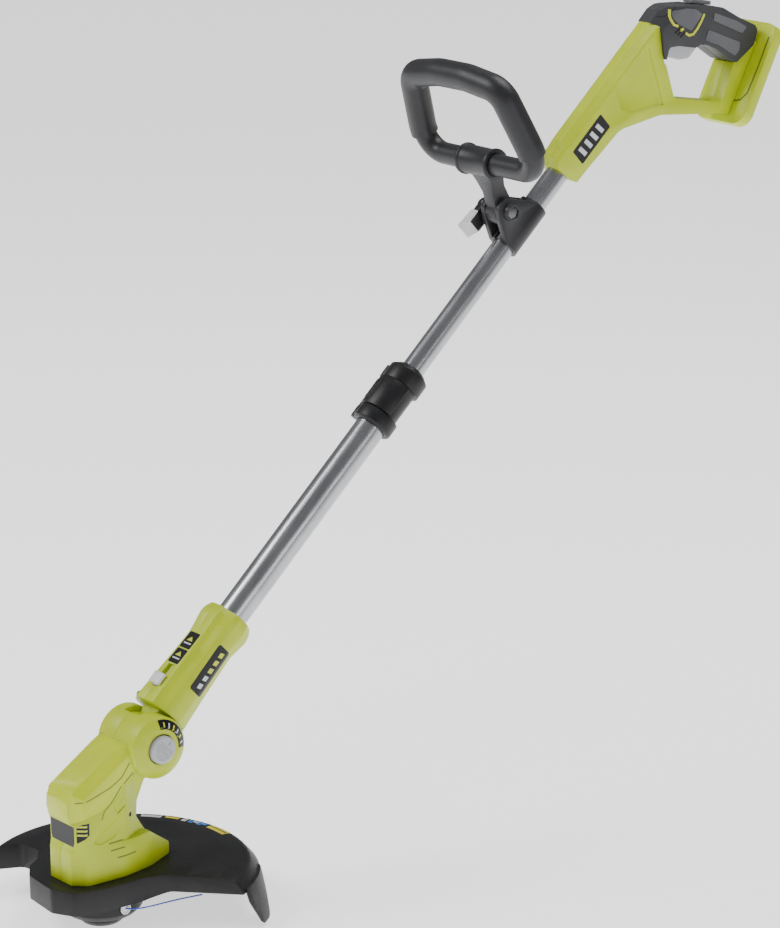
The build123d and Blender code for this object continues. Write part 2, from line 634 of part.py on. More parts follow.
def route_radii(route):
    """One arc for each inner corner: 0.45 of the shorter run over the tangent of half the turn."""
    points = [Vector(*p) for p in route]
    radii = []
    for a, b, c in zip(points, points[1:], points[2:]):
        turn = math.radians((b - a).get_angle(c - b))
        radii.append(0.45 * min((b - a).length, (c - b).length) / math.tan(turn / 2))
    return radii


def cutting_line():
    radii = route_radii(LINE_ROUTE)
    print("cutting line radii", [round(r, 1) for r in radii])
    path = FilletPolyline(*LINE_ROUTE, radius=radii)
    start = Plane(origin=path @ 0, z_dir=path % 0)
    tube = sweep(start * Circle(LINE_D / 2), path=path)
    print("cutting line length", round(path.length, 2), "volume", round(tube.volume, 2),
          "section times length", round(math.pi * LINE_D ** 2 / 4 * path.length, 2))
    return {"cutting_line": tube}


# ---------------------------------------------------------------- loop handle

def bracket():
    wrap = UPPER_R + BRACKET_WALL
    body = rod_z(wrap, BRACKET_LOW, BRACKET_TOP)
    ear_in = DISC_HALF + EAR_GAP
    ear_out = ear_in + EAR_WALL
    by, bz = -BOLT_FORWARD, BOLT_ALONG
    web = outline([(0, BRACKET_LOW), (0, BRACKET_TOP), (-10, BRACKET_TOP, 3), (by - 4, bz + 14, 6),
                   (by - 15, bz + 6, 6), (by - 15, bz - 8, 6), (by - 4, bz - 15, 6), (-10, BRACKET_LOW, 3)])
    ears = side_prism(web, -ear_out, ear_out)
    ears -= rod_x(60, -ear_in, ear_in, by - 45, bz)
    ears -= block((-ear_in, ear_in), (by - 40, -UPPER_R - BRACKET_WALL + 2), (BRACKET_LOW - 1, BRACKET_TOP + 1))
    body += ears
    body += rod_x(9.2, ear_out, ear_out + 6, by, bz)
    body -= rod_z(UPPER_R + RUNNING, BRACKET_LOW - 1, BRACKET_TOP + 1)
    body -= block((-2.0, 2.0), (-40, 0), (BRACKET_LOW - 1, BRACKET_TOP + 1))
    body -= rod_x(DISC_R + 1.2, -ear_in, ear_in, by, bz)
    bolt_r = 4.0
    body -= rod_x(bolt_r, -ear_out - 1, ear_out + 7, by, bz)
    hexagon = Plane.YZ.offset(ear_out + 2) * Pos(by, bz) * RegularPolygon(7.2, 6)
    body -= extrude(hexagon, amount=6)
    eye_x = -ear_out - 9
    bolt = rod_x(bolt_r, eye_x - 3, ear_out + 2, by, bz)
    bolt_head = Plane.YZ.offset(ear_out + 2) * Pos(by, bz) * RegularPolygon(7.2, 6)
    bolt += extrude(bolt_head, amount=3.2)
    bolt -= rod_y(LEVER_PIN_R, by - 9, by + 9, eye_x, bz)
    lever_pin = rod_y(LEVER_PIN_R, by - CAM_HALF, by + CAM_HALF, eye_x, bz)
    cheek = bolt_r + BODY_GAP
    cam_r = 6.6
    cam = rod_y(cam_r, by - CAM_HALF, by + CAM_HALF, eye_x, bz)
    cam += block((eye_x - 5, eye_x + 3.5), (by - CAM_HALF, by + CAM_HALF), (bz - 26, bz))
    cam -= block((eye_x - cheek - 0.6, eye_x + 12), (by - cheek, by + cheek), (bz - cheek - 0.6, bz + 12))
    cam -= block((eye_x - 12, eye_x + 12), (by - cheek, by + cheek), (bz + 1.5, bz + 12))
    cam -= rod_y(LEVER_PIN_R + RUNNING, by - 9, by + 9, eye_x, bz)
    paddle = outline([(eye_x - 7.5, bz - 12, 2), (eye_x - 10, bz - 34, 2), (eye_x - 5, bz - 37, 2),
                      (eye_x + 3.5, bz - 26), (eye_x + 3.5, bz - 12), (eye_x - 5, bz - 12)])
    paddle = extrude(Plane.XZ.offset(-by - CAM_HALF - 0.8) * paddle, amount=2 * CAM_HALF + 1.6)
    paddle -= block((eye_x - 5, eye_x + 4), (by - CAM_HALF, by + CAM_HALF), (bz - 26, bz))
    washer = tube_x(10.5, bolt_r + RUNNING, eye_x + cam_r + 0.3, -ear_out, by, bz)
    return {
        "loop_bracket": on_shaft(body),
        "clamp_bolt": on_shaft(bolt),
        "clamp_washer": on_shaft(washer),
        "lever_pin": on_shaft(lever_pin),
        "lever_cam": on_shaft(cam),
        "lever_paddle": on_shaft(paddle),
    }


BOLT = shaft_point(0, -BOLT_FORWARD, BOLT_ALONG)
LOOP = Plane(
    origin=BOLT,
    x_dir=(1, 0, 0),
    z_dir=(0, -math.cos(math.radians(LOOP_LEAN)), -math.sin(math.radians(LOOP_LEAN))),
)


def loop_wire():
    """The loop's middle line in its own plane: x sideways, y away from the bolt."""
    low, top = LOOP_BOTTOM, LOOP_TOP
    corners = [
        (LOOP_LOW_HALF, low, 23), (LOOP_LOW_HALF - 1, low + 30, 50), (LOOP_TOP_HALF, top - 8, 22), (22, top, 50),
    ]
    mirrored = [(-x, y, r) for x, y, r in reversed(corners)]
    return outline(corners + mirrored).wires()[0]


def loop_tube(radius):
    """A round bar all the way round the loop."""
    wire = loop_wire()
    start = Plane(origin=wire @ 0, z_dir=wire % 0)
    return sweep(start * Circle(radius), path=wire)


def loop():
    core = loop_tube(LOOP_TUBE_R)
    low = LOOP_BOTTOM
    grip_window = block((-150, 150), (low + 22, 260), (-60, 60))
    grip = (loop_tube(LOOP_GRIP_R) & grip_window) - core
    far, near = SLEEVE_ENDS
    sleeve = rod_x(LOOP_TUBE_R + 3.6, far, near, low, 0)
    sleeve += rod_x(LOOP_TUBE_R + 5.0, far, far + 4, low, 0) + rod_x(LOOP_TUBE_R + 5.0, near - 4, near, low, 0)
    stations = [(8, 2 * DISC_HALF, 22), (26, 2 * DISC_HALF, 18), (38, 24, 18), (low - 8, 32, 20)]
    neck = loft([Plane(origin=(0, y, 0), x_dir=(1, 0, 0), z_dir=(0, 1, 0)) * Rectangle(width, depth)
                 for y, width, depth in stations], ruled=True)
    mast = sleeve + neck + rod_x(DISC_R, -DISC_HALF, DISC_HALF, 0, 0)
    mast -= core
    mast -= rod_x(4.0 + RUNNING, -DISC_HALF - 1, DISC_HALF + 1, 0, 0)
    return {
        "loop_tube": LOOP * core,
        "loop_grip": LOOP * grip,
        "loop_mast": LOOP * mast,
    }


# ---------------------------------------------------------------- rear handle

GRIP_CORNERS = [
    (-26.5, 1001, 1), (-27.5, 1018, 6), (-21, 1030, 8), (8, 1058, 14), (34, 1078, 16), (60, 1087, 20),
    (90, 1100, 9), (99, 1082, 10), (94, 1052, 6), (88, 1049, 6), (60, 1042, 14), (41, 1033, 3), (37, 1023, 5),
    (17, 1008, 6), (8, 998, 5), (17, 984, 1.5), (8, 988), (-17, 1005),
]
SHELL_CORNERS = [
    (-26.5, 1001), (-17, 1005), (8, 988), (17, 984), (21, 984, 2), (56, 968, 6), (112, 1011, 8), (93, 1051),
    (94, 1052), (99, 1082), (102.5, 1093.6), (132.6, 1010.9), (118, 1000, 4), (54, 943, 20),
    (22, 895, 30), (17.5, 832, 8), (17, HANDLE_LOW + 4, 2), (8, HANDLE_LOW), (-14, HANDLE_LOW - 3, 2),
    (-22, 819, 2), (-22, 831, 1), (-26.5, 838, 1),
]


def shell_section():
    """Front view of the lower handle: a narrow spine in front is cut by chamfers."""
    return outline([
        (-HANDLE_HALF, 60), (-HANDLE_HALF, -19, 2), (-7, -26.6, 1), (7, -26.6, 1), (HANDLE_HALF, -19, 2),
        (HANDLE_HALF, 60), (HANDLE_HALF, 220), (-HANDLE_HALF, 220),
    ])


FOOT_TILT = 20.0             # degrees that the foot leans forward from the shaft's direction
FOOT_PLACE = Pos(0, 119, 1057) * Rot(FOOT_TILT, 0, 0)


def handle():
    side = outline(SHELL_CORNERS)
    body = side_prism(side, -HANDLE_HALF, HANDLE_HALF)
    body &= extrude(Plane.XY.offset(700) * shell_section(), amount=500)
    hollow = offset(outline([
        (-21, 1003), (-17, 1005), (8, 988), (20, 984), (52, 966), (50, 945), (22, 897), (18, 860), (-21, 860),
    ]), -HANDLE_WALL - 1, kind=Kind.INTERSECTION)
    cavity = side_prism(hollow, -HANDLE_HALF + HANDLE_WALL, HANDLE_HALF - HANDLE_WALL)
    body -= cavity
    body -= rod_z(UPPER_R, HANDLE_LOW - 10, UPPER_TOP)
    recess = outline([(-11, 980), (50, 953, 1), (43, 947, 1), (25, 922, 2), (13, 915, 1), (-10, 924, 1)])
    for sign in (-1, 1):
        reach = sorted((sign * (HANDLE_HALF - 1.4), sign * (HANDLE_HALF + 5)))
        body -= side_prism(recess, *reach)
    screws = [(-16, 848), (-16, 925), (12, 968), (85, 981), (115, 1029), (104, 1066)]
    seat = HANDLE_HALF - SCREW_HEAD - 0.4
    body -= side_screw_holes(screws, seat, 2 * seat - 1)
    left, right = halves(body)
    plate = block((-FOOT_HALF, FOOT_HALF), (-FOOT_THICK / 2, FOOT_THICK / 2), (-58, 58))
    plate = fillet(plate.edges().filter_by(Axis.Y), 16)
    plate -= block((-SOCKET_HALF, SOCKET_HALF), (-2, FOOT_THICK), (-34, 40))
    plate = FOOT_PLACE * plate
    plate -= side_prism(side, -HANDLE_HALF, HANDLE_HALF)
    terminals = []
    for x in (-12, -4, 4, 12):
        terminals.append(FOOT_PLACE * block((x - 0.5, x + 0.5), (-2, 4.5), (-16, 4)))
    return {
        "handle_shell_left": on_shaft(left),
        "handle_shell_right": on_shaft(right),
        "handle_screws": on_shaft(Compound(children=side_screws(screws, seat, 2 * seat - 1))),
        "battery_foot": on_shaft(plate),
        "battery_terminals": on_shaft(Compound(children=terminals)),
    }


LOCK_PLACE = Pos(0, 16, 1064.7) * Rot(math.degrees(math.atan2(20, 26)), 0, 0)


def grip():
    """The overmoulded grip with its trigger, lock button and switch."""
    body = side_prism(outline(GRIP_CORNERS), -GRIP_HALF, GRIP_HALF)
    front = outline([(-GRIP_HALF, 220), (-GRIP_HALF, -12, 4), (-8, -29, 2), (8, -29, 2), (GRIP_HALF, -12, 4),
                     (GRIP_HALF, 220)])
    body &= flat_prism(front, 900, 1200)
    inner = inset_outline([(-20, 1008), (-20, 1026), (8, 1058), (34, 1078), (60, 1087), (90, 1100), (99, 1082),
                           (94, 1052), (60, 1042), (37, 1023), (8, 998)], GRIP_WALL)
    body -= side_prism(inner, -GRIP_HALF + GRIP_WALL, GRIP_HALF - GRIP_WALL)
    window = outline([(4, 1022), (2, 1000), (10, 990), (24, 990), (42, 1004), (52, 1018), (52, 1034), (36, 1044),
                      (20, 1038)])
    body -= side_prism(window, -TRIGGER_HALF - BODY_GAP, TRIGGER_HALF + BODY_GAP)
    hinge_y, hinge_z = TRIGGER_HINGE
    body += rod_x(4.5, TRIGGER_HALF + BODY_GAP, GRIP_HALF - GRIP_WALL, hinge_y, hinge_z)
    body += rod_x(4.5, -GRIP_HALF + GRIP_WALL, -TRIGGER_HALF - BODY_GAP, hinge_y, hinge_z)
    body -= rod_x(TRIGGER_PIN_R, -12, 12, hinge_y, hinge_z)
    slide = LOCK_PLACE * block((-4.4, 4.4), (-10.6, 6.4), (-7, 10))
    body -= slide
    body += LOCK_PLACE * block((-GRIP_HALF + 4, GRIP_HALF - 4), (-19, -15), (-12, -1))
    shelf = block((-9, 9), (-24, -10), (1006, 1010))
    body += shelf
    left, right = halves(body)
    trigger = side_prism(outline([(12, 1030, 2), (11, 1006, 3), (14, 997, 4), (24, 997, 4), (38, 1005, 12),
                                  (47, 1015, 6), (47, 1032, 4), (42, 1041, 3), (28, 1040, 3)]),
                         -TRIGGER_HALF, TRIGGER_HALF)
    trigger = chamfer(trigger.faces().sort_by(Axis.X)[0].edges() + trigger.faces().sort_by(Axis.X)[-1].edges(), 1.0)
    trigger -= rod_x(TRIGGER_PIN_R + RUNNING, -12, 12, hinge_y, hinge_z)
    switch = block((-8, 8), (-14, 1), (1010, 1026))
    lock = LOCK_PLACE * (block((-7, 7), (-14, 14), (0.3, 4.5)) + block((-4, 4), (-6, 6), (-10.5, 1)))
    lock_spring = LOCK_PLACE * spring_y(2.6, -15, -6, 0.7, 0, -7.9)
    return {
        "grip_left": on_shaft(left),
        "grip_right": on_shaft(right),
        "trigger": on_shaft(trigger),
        "trigger_pin": on_shaft(rod_x(TRIGGER_PIN_R, -12, 12, hinge_y, hinge_z)),
        "trigger_spring": on_shaft(spring_y(2.8, 1, 11.0, 0.7, 0, 1018)),
        "lock_button": on_shaft(lock),
        "lock_spring": on_shaft(lock_spring),
        "switch_block": on_shaft(switch),
    }


def main():
    os.makedirs("parts", exist_ok=True)
    pieces = {}
    for group in (shaft_tubes, collar, tail, head, guard, spool, cutting_line, bracket, loop, handle, grip):
        pieces.update(group())
    for name, shape in pieces.items():
        export_step(shape, f"parts/{name}.step")
    print(len(pieces), "nodes")


main()
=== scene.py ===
"""Looks for the cordless string trimmer: finishes, rounded housings, trims, light and camera.

Lengths in the tables are millimetres and are turned to metres by MM. Points marked as shaft
points are (sideways, rearwards, along the shaft) in the shaft's own frame.
"""
import json
import logging
import math
from dataclasses import dataclass
from enum import Enum

import bmesh
import bpy
from mathutils import Matrix, Vector
from mathutils.bvhtree import BVHTree


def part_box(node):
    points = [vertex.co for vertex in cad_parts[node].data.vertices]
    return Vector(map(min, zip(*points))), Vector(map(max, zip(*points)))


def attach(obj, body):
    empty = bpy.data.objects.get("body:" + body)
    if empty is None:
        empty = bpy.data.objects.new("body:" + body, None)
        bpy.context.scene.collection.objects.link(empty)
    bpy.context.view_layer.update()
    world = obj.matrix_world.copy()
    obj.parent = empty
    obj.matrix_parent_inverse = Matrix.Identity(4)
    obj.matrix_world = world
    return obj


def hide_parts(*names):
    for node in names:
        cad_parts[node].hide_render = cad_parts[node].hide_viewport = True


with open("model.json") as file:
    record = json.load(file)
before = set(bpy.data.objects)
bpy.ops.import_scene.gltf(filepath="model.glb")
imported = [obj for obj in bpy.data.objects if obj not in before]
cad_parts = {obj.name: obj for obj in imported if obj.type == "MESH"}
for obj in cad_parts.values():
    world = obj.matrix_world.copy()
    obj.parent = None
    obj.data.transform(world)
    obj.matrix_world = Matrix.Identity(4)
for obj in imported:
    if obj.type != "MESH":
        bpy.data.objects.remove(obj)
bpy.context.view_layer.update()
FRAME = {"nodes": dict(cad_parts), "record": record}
LOG = logging.getLogger("trimmer")
Point = tuple[float, float]
Outline = list[Point]
Place = tuple[float, float, float]

MM = 0.001
SHAFT_ANGLE = math.radians(42.0)
SHAFT_HEIGHT = 0.128

CREASE_ANGLE = math.radians(32.0)
ROUNDED_ANGLE = math.radians(34.0)
FLAT_ANGLE = math.radians(0.6)
WELD_DISTANCE = 2e-6
# Shares of the asked rounding that are tried in turn, each with whether overlaps are clamped.
ROUNDING_TRIES = ((1.0, False), (0.7, False), (0.45, False), (0.25, False), (1.0, True))
STRAY_REACH = 1.05

SUNK = 0.15
PRINT_THICKNESS = 0.42
LABEL_THICKNESS = 0.3
GROOVE_THICKNESS = 0.12


# ---------------------------------------------------------------- camera, light and cord

@dataclass
class Studio:
    """The camera, the lights and the pale floor."""

    azimuth: float = math.radians(51.417)
    elevation: float = math.radians(15.939)
    roll: float = math.radians(0.842)
    distance: float = 3.92235
    target: Place = (0.0, 0.375749, 0.400354)
    lens: float = 148.15
    sensor: float = 36.0
    far_clip: float = 50.0
    sky: Place = (0.95, 0.96, 1.0)
    sky_strength: float = 0.30
    floor_size: float = 9.0
    floor_colour: Place = (0.92, 0.92, 0.93)
    floor_roughness: float = 0.75
    floor_glow: float = 1.1

    def camera(self) -> None:
        """Sets up the scene's camera."""
        back = Vector((
            math.sin(self.azimuth) * math.cos(self.elevation),
            -math.cos(self.azimuth) * math.cos(self.elevation),
            math.sin(self.elevation),
        ))
        right = Vector((math.cos(self.azimuth), math.sin(self.azimuth), 0.0))
        up = back.cross(right)
        turned_right = right * math.cos(self.roll) - up * math.sin(self.roll)
        turned_up = right * math.sin(self.roll) + up * math.cos(self.roll)
        place = Matrix((turned_right, turned_up, back)).transposed().to_4x4()
        place.translation = Vector(self.target) + back * self.distance
        data = bpy.data.cameras.new("camera")
        data.sensor_fit = "VERTICAL"
        data.sensor_height = self.sensor
        data.lens = self.lens
        data.clip_end = self.far_clip
        camera = bpy.data.objects.new("camera", data)
        camera.matrix_world = place
        bpy.context.scene.collection.objects.link(camera)
        bpy.context.scene.camera = camera

    def area(self, name: str, place: Place, size: float, power: float) -> None:
        """Adds one soft square light aimed at the trimmer.

        Args:
            name: the light's name.
            place: where it stands, in metres.
            size: its side in metres.
            power: its power in watts.
        """
        data = bpy.data.lights.new(name, "AREA")
        data.size = size
        data.energy = power
        light = bpy.data.objects.new(name, data)
        aim = Vector(self.target) - Vector(place)
        turned = aim.to_track_quat("-Z", "Y").to_matrix().to_4x4()
        light.matrix_world = Matrix.Translation(place) @ turned
        bpy.context.scene.collection.objects.link(light)

    def lights(self) -> None:
        """Adds the lights and the pale surroundings."""
        self.area("key", (-1.5, -2.0, 2.9), 1.6, 92.0)
        self.area("top", (0.2, 1.4, 2.8), 1.6, 46.0)
        self.area("near_fill", (3.0, 0.2, 0.9), 1.2, 11.0)
        world = bpy.data.worlds.new("studio")
        world.use_nodes = True
        sky = world.node_tree.nodes["Background"]
        sky.inputs["Color"].default_value = (*self.sky, 1.0)
        sky.inputs["Strength"].default_value = self.sky_strength
        bpy.context.scene.world = world

    def floor(self) -> None:
        """Lays the pale floor."""
        bm = bmesh.new()
        bmesh.ops.create_grid(bm, x_segments=1, y_segments=1, size=self.floor_size)
        mesh = bpy.data.meshes.new("floor")
        bm.to_mesh(mesh)
        bm.free()
        floor = bpy.data.objects.new("floor", mesh)
        bpy.context.scene.collection.objects.link(floor)
        pale = bpy.data.materials.new("pale_floor")
        pale.use_nodes = True
        shader = pale.node_tree.nodes["Principled BSDF"]
        shader.inputs["Base Color"].default_value = (*self.floor_colour, 1.0)
        shader.inputs["Roughness"].default_value = self.floor_roughness
        shader.inputs["Emission Color"].default_value = (1.0, 1.0, 1.0, 1.0)
        shader.inputs["Emission Strength"].default_value = self.floor_glow
        mesh.materials.append(pale)


@dataclass
class CuttingLine:
    """The free end of the nylon line that comes out of the spool."""

    diameter: float = 0.0016
    length: float = 0.084
    route: tuple[Place, ...] = (
        (0.0410, 0.0, 0.0245), (0.0475, 0.0030, 0.0246), (0.0515, 0.0120, 0.0245),
        (0.0535, 0.0250, 0.0243), (0.0545, 0.0410, 0.0241), (0.0570, 0.0610, 0.0240),
        (0.0615, 0.0795, 0.0240),
    )

    def build(self) -> None:
        data = bpy.data.curves.new("cutting_line_smooth", "CURVE")
        data.dimensions = "3D"
        data.bevel_depth = self.diameter / 2
        data.bevel_resolution = 4
        data.resolution_u = 12
        data.use_fill_caps = True
        spline = data.splines.new("NURBS")
        spline.points.add(len(self.route) - 1)
        for point, place in zip(spline.points, self.route):
            point.co = (*place, 1.0)
        spline.order_u = 3
        spline.use_endpoint_u = True
        line = bpy.data.objects.new("cutting_line_smooth", data)
        bpy.context.scene.collection.objects.link(line)
        data.materials.append(Finishes.LINE.value.material())
        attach(line, "spool")
        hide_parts("cutting_line")
        LOG.info("cutting line laid")


# ---------------------------------------------------------------- finishes

class Slot(Enum):
    """The record's material slots."""

    LIME = "lime_shell"
    BLACK = "black_plastic"
    GRIP = "grip_rubber"
    TUBE = "tube_metal"
    STEEL = "steel"
    SCREW = "screw_steel"
    GREY = "grey_plastic"
    WHITE = "white_plastic"
    LINE = "line_nylon"
    BRASS = "brass_contact"
    MOTOR = "motor_can"
    NYLON = "nylon_natural"


class Grain(Enum):
    """How a finish's surface is broken up."""

    MOULDED = "moulded"
    DIMPLED = "dimpled"
    DRAWN = "drawn along the shaft"
    TURNED = "turned"


@dataclass(frozen=True)
class Finish:
    """One surface finish, as a small node tree on object coordinates."""

    name: str
    colour: Place
    second: Place
    roughness: float
    spread: float = 0.08
    metallic: float = 0.0
    coat: float = 0.0
    grain: Grain = Grain.MOULDED
    grain_scale: float = 1500.0
    relief: float = 0.22
    specular: float = 0.5
    coat_roughness: float = 0.25
    mottle_scale: float = 28.0
    bump_distance: float = 0.0006
    drawn_stretch: float = 0.02

    def material(self) -> bpy.types.Material:
        """Returns the finish's material, built the first time it is asked for."""
        known = bpy.data.materials.get(self.name)
        if known:
            return known
        made = bpy.data.materials.new(self.name)
        made.use_nodes = True
        tree = made.node_tree
        shader = tree.nodes["Principled BSDF"]
        shader.inputs["Metallic"].default_value = self.metallic
        shader.inputs["Specular IOR Level"].default_value = self.specular
        shader.inputs["Coat Weight"].default_value = self.coat
        shader.inputs["Coat Roughness"].default_value = self.coat_roughness
        place = tree.nodes.new("ShaderNodeTexCoord").outputs["Object"]
        mottle = self.noise(tree, place, self.mottle_scale, 3.0)
        mix = tree.nodes.new("ShaderNodeMix")
        mix.data_type = "RGBA"
        tree.links.new(self.ramp(tree, mottle, 0.35, 0.65, 0.0, 1.0), mix.inputs["Factor"])
        mix.inputs["A"].default_value = (*self.colour, 1.0)
        mix.inputs["B"].default_value = (*self.second, 1.0)
        tree.links.new(mix.outputs["Result"], shader.inputs["Base Color"])
        height = self.height(tree, place)
        low, high = self.roughness - self.spread, self.roughness + self.spread
        tree.links.new(self.ramp(tree, height, 0.3, 0.7, low, high), shader.inputs["Roughness"])
        bump = tree.nodes.new("ShaderNodeBump")
        bump.inputs["Strength"].default_value = self.relief
        bump.inputs["Distance"].default_value = self.bump_distance
        tree.links.new(height, bump.inputs["Height"])
        tree.links.new(bump.outputs["Normal"], shader.inputs["Normal"])
        return made

    def noise(self, tree: bpy.types.NodeTree, place: bpy.types.NodeSocket, scale: float,
              detail: float) -> bpy.types.NodeSocket:
        """Returns the value of a noise at a scale per metre."""
        node = tree.nodes.new("ShaderNodeTexNoise")
        node.inputs["Scale"].default_value = scale
        node.inputs["Detail"].default_value = detail
        tree.links.new(place, node.inputs["Vector"])
        return node.outputs["Fac"]

    def ramp(self, tree: bpy.types.NodeTree, value: bpy.types.NodeSocket, low: float,
             high: float, out_low: float, out_high: float) -> bpy.types.NodeSocket:
        """Returns the value moved from one range to another, held at its ends."""
        node = tree.nodes.new("ShaderNodeMapRange")
        ends = (("From Min", low), ("From Max", high), ("To Min", out_low), ("To Max", out_high))
        for name, number in ends:
            node.inputs[name].default_value = number
        tree.links.new(value, node.inputs["Value"])
        return node.outputs["Result"]

    def height(self, tree: bpy.types.NodeTree,
               place: bpy.types.NodeSocket) -> bpy.types.NodeSocket:
        """Returns the height that the finish's grain gives."""
        if self.grain is Grain.DIMPLED:
            cells = tree.nodes.new("ShaderNodeTexVoronoi")
            cells.inputs["Scale"].default_value = self.grain_scale
            cells.inputs["Randomness"].default_value = 0.15
            tree.links.new(place, cells.inputs["Vector"])
            return self.ramp(tree, cells.outputs["Distance"], 0.1, 0.5, 0.0, 1.0)
        if self.grain in (Grain.DRAWN, Grain.TURNED):
            turn = tree.nodes.new("ShaderNodeMapping")
            if self.grain is Grain.DRAWN:
                turn.inputs["Rotation"].default_value[0] = math.radians(90.0) - SHAFT_ANGLE
            tree.links.new(place, turn.inputs["Vector"])
            stretch = tree.nodes.new("ShaderNodeMapping")
            stretch.inputs["Scale"].default_value = (1.0, 1.0, self.drawn_stretch)
            tree.links.new(turn.outputs["Vector"], stretch.inputs["Vector"])
            return self.noise(tree, stretch.outputs["Vector"], self.grain_scale, 2.0)
        return self.noise(tree, place, self.grain_scale, 2.0)


class Finishes(Enum):
    """The trimmer's finishes."""

    LIME = Finish("lime_moulded", (0.500, 0.600, 0.004), (0.455, 0.550, 0.003), 0.42)
    LIME_PALE = Finish("lime_moulded_cap", (0.560, 0.660, 0.006), (0.515, 0.610, 0.005), 0.38)
    LIME_TRIM = Finish("lime_trim", (0.600, 0.640, 0.020), (0.540, 0.580, 0.015), 0.45)
    BLACK = Finish("black_moulded", (0.006, 0.006, 0.007), (0.010, 0.010, 0.011), 0.42,
                   specular=0.35)
    GUARD = Finish("guard_moulded", (0.005, 0.005, 0.006), (0.009, 0.009, 0.010), 0.46,
                   grain_scale=1100.0, relief=0.3, specular=0.35)
    CHARCOAL = Finish("charcoal_satin", (0.014, 0.014, 0.016), (0.021, 0.021, 0.023), 0.42,
                      specular=0.4)
    GRIP = Finish("grip_smooth", (0.030, 0.030, 0.033), (0.042, 0.042, 0.046), 0.5, specular=0.4)
    NOSE = Finish("grip_nose", (0.150, 0.152, 0.160), (0.180, 0.182, 0.190), 0.5)
    DIMPLES = Finish("grip_dimpled", (0.085, 0.087, 0.094), (0.110, 0.112, 0.120), 0.55, 0.12,
                     grain=Grain.DIMPLED, grain_scale=420.0, relief=0.9)
    LABEL = Finish("label_film", (0.004, 0.004, 0.005), (0.007, 0.007, 0.008), 0.34, 0.04,
                   relief=0.03, specular=0.3)
    PRINT = Finish("label_print", (0.62, 0.63, 0.65), (0.55, 0.56, 0.58), 0.35, 0.04, relief=0.03)
    PRINT_LIME = Finish("label_print_lime", (0.60, 0.66, 0.03), (0.54, 0.60, 0.025), 0.35, 0.04,
                        relief=0.03)
    PRINT_YELLOW = Finish("label_print_yellow", (0.72, 0.62, 0.03), (0.66, 0.57, 0.03), 0.35,
                          0.04, relief=0.03)
    PRINT_BLUE = Finish("label_print_blue", (0.06, 0.24, 0.66), (0.05, 0.20, 0.60), 0.35, 0.04,
                        relief=0.03)
    # Near-black used for the grip's dark nose seam and as painted shade inside the side holes.
    DARK = Finish("seam_dark_and_painted_hole_shade", (0.006, 0.006, 0.006), (0.010, 0.010, 0.009), 0.7)
    # A darker lime painted as the shade inside grooves and slots.
    LIME_SHADE = Finish("lime_groove_shade", (0.175, 0.205, 0.012), (0.150, 0.180, 0.010), 0.6)
    TUBE = Finish("tube_drawn", (0.42, 0.425, 0.435), (0.36, 0.365, 0.375), 0.26, 0.07,
                  metallic=1.0, grain=Grain.DRAWN, grain_scale=1600.0, relief=0.05)
    STEEL = Finish("steel_turned", (0.56, 0.56, 0.57), (0.48, 0.48, 0.49), 0.3, 0.08,
                   metallic=1.0, grain=Grain.TURNED, relief=0.08)
    SCREW = Finish("screw_black", (0.10, 0.10, 0.105), (0.14, 0.14, 0.145), 0.38, 0.08,
                   metallic=1.0, grain=Grain.TURNED, relief=0.08)
    BUTTON = Finish("button_grey", (0.40, 0.41, 0.43), (0.46, 0.47, 0.49), 0.34)
    TRIGGER = Finish("trigger_grey", (0.44, 0.45, 0.47), (0.50, 0.51, 0.53), 0.36)
    WHITE = Finish("white_moulded", (0.72, 0.72, 0.72), (0.66, 0.66, 0.67), 0.4)
    LINE = Finish("nylon_line", (0.035, 0.090, 0.50), (0.050, 0.130, 0.62), 0.25, 0.05, coat=0.3,
                  relief=0.05)
    BRASS = Finish("brass_plated", (0.70, 0.52, 0.20), (0.62, 0.45, 0.16), 0.28, 0.06,
                   metallic=1.0, grain=Grain.TURNED, relief=0.05)
    MOTOR = Finish("motor_plated", (0.42, 0.42, 0.44), (0.50, 0.50, 0.52), 0.32, 0.06,
                   metallic=1.0, grain=Grain.TURNED, relief=0.05)
    NYLON = Finish("nylon_plain", (0.66, 0.64, 0.56), (0.60, 0.58, 0.50), 0.5)


SLOT_FINISH = {
    Slot.LIME: Finishes.LIME,
    Slot.BLACK: Finishes.BLACK,
    Slot.GRIP: Finishes.GRIP,
    Slot.TUBE: Finishes.TUBE,
    Slot.STEEL: Finishes.STEEL,
    Slot.SCREW: Finishes.SCREW,
    Slot.GREY: Finishes.TRIGGER,
    Slot.WHITE: Finishes.WHITE,
    Slot.LINE: Finishes.LINE,
    Slot.BRASS: Finishes.BRASS,
    Slot.MOTOR: Finishes.MOTOR,
    Slot.NYLON: Finishes.NYLON,
}
NODE_FINISH = {
    "guard": Finishes.GUARD, "head_cap": Finishes.LIME_PALE, "pivot_button": Finishes.BUTTON,
    "loop_tube": Finishes.CHARCOAL, "loop_grip": Finishes.CHARCOAL, "loop_mast": Finishes.CHARCOAL,
    "loop_bracket": Finishes.CHARCOAL, "lock_button": Finishes.NOSE,
}


# ---------------------------------------------------------------- workshop

def node_facts() -> dict[str, tuple[str, str]]:
    """Returns each CAD node's body and material slot, by its name."""
    record = FRAME["record"]
    bodies = {}
    for body, names in record["behaviour"]["bodies"].items():
        for name in names:
            bodies[name] = body
    facts = {}
    for part in record["subparts"]:
        name = part["node"]
        facts[name] = (bodies.get(name, "handle"), part["material_slot"])
    return facts


FACTS = node_facts()


def shaft_matrix() -> Matrix:
    """Returns the shaft's frame: sideways, rearwards and along the shaft, in metres."""
    c, s = math.cos(SHAFT_ANGLE), math.sin(SHAFT_ANGLE)
    place = Matrix(((1, 0, 0), (0, s, c), (0, -c, s))).to_4x4()
    place.translation = Vector((0, 0, SHAFT_HEIGHT))
    return place


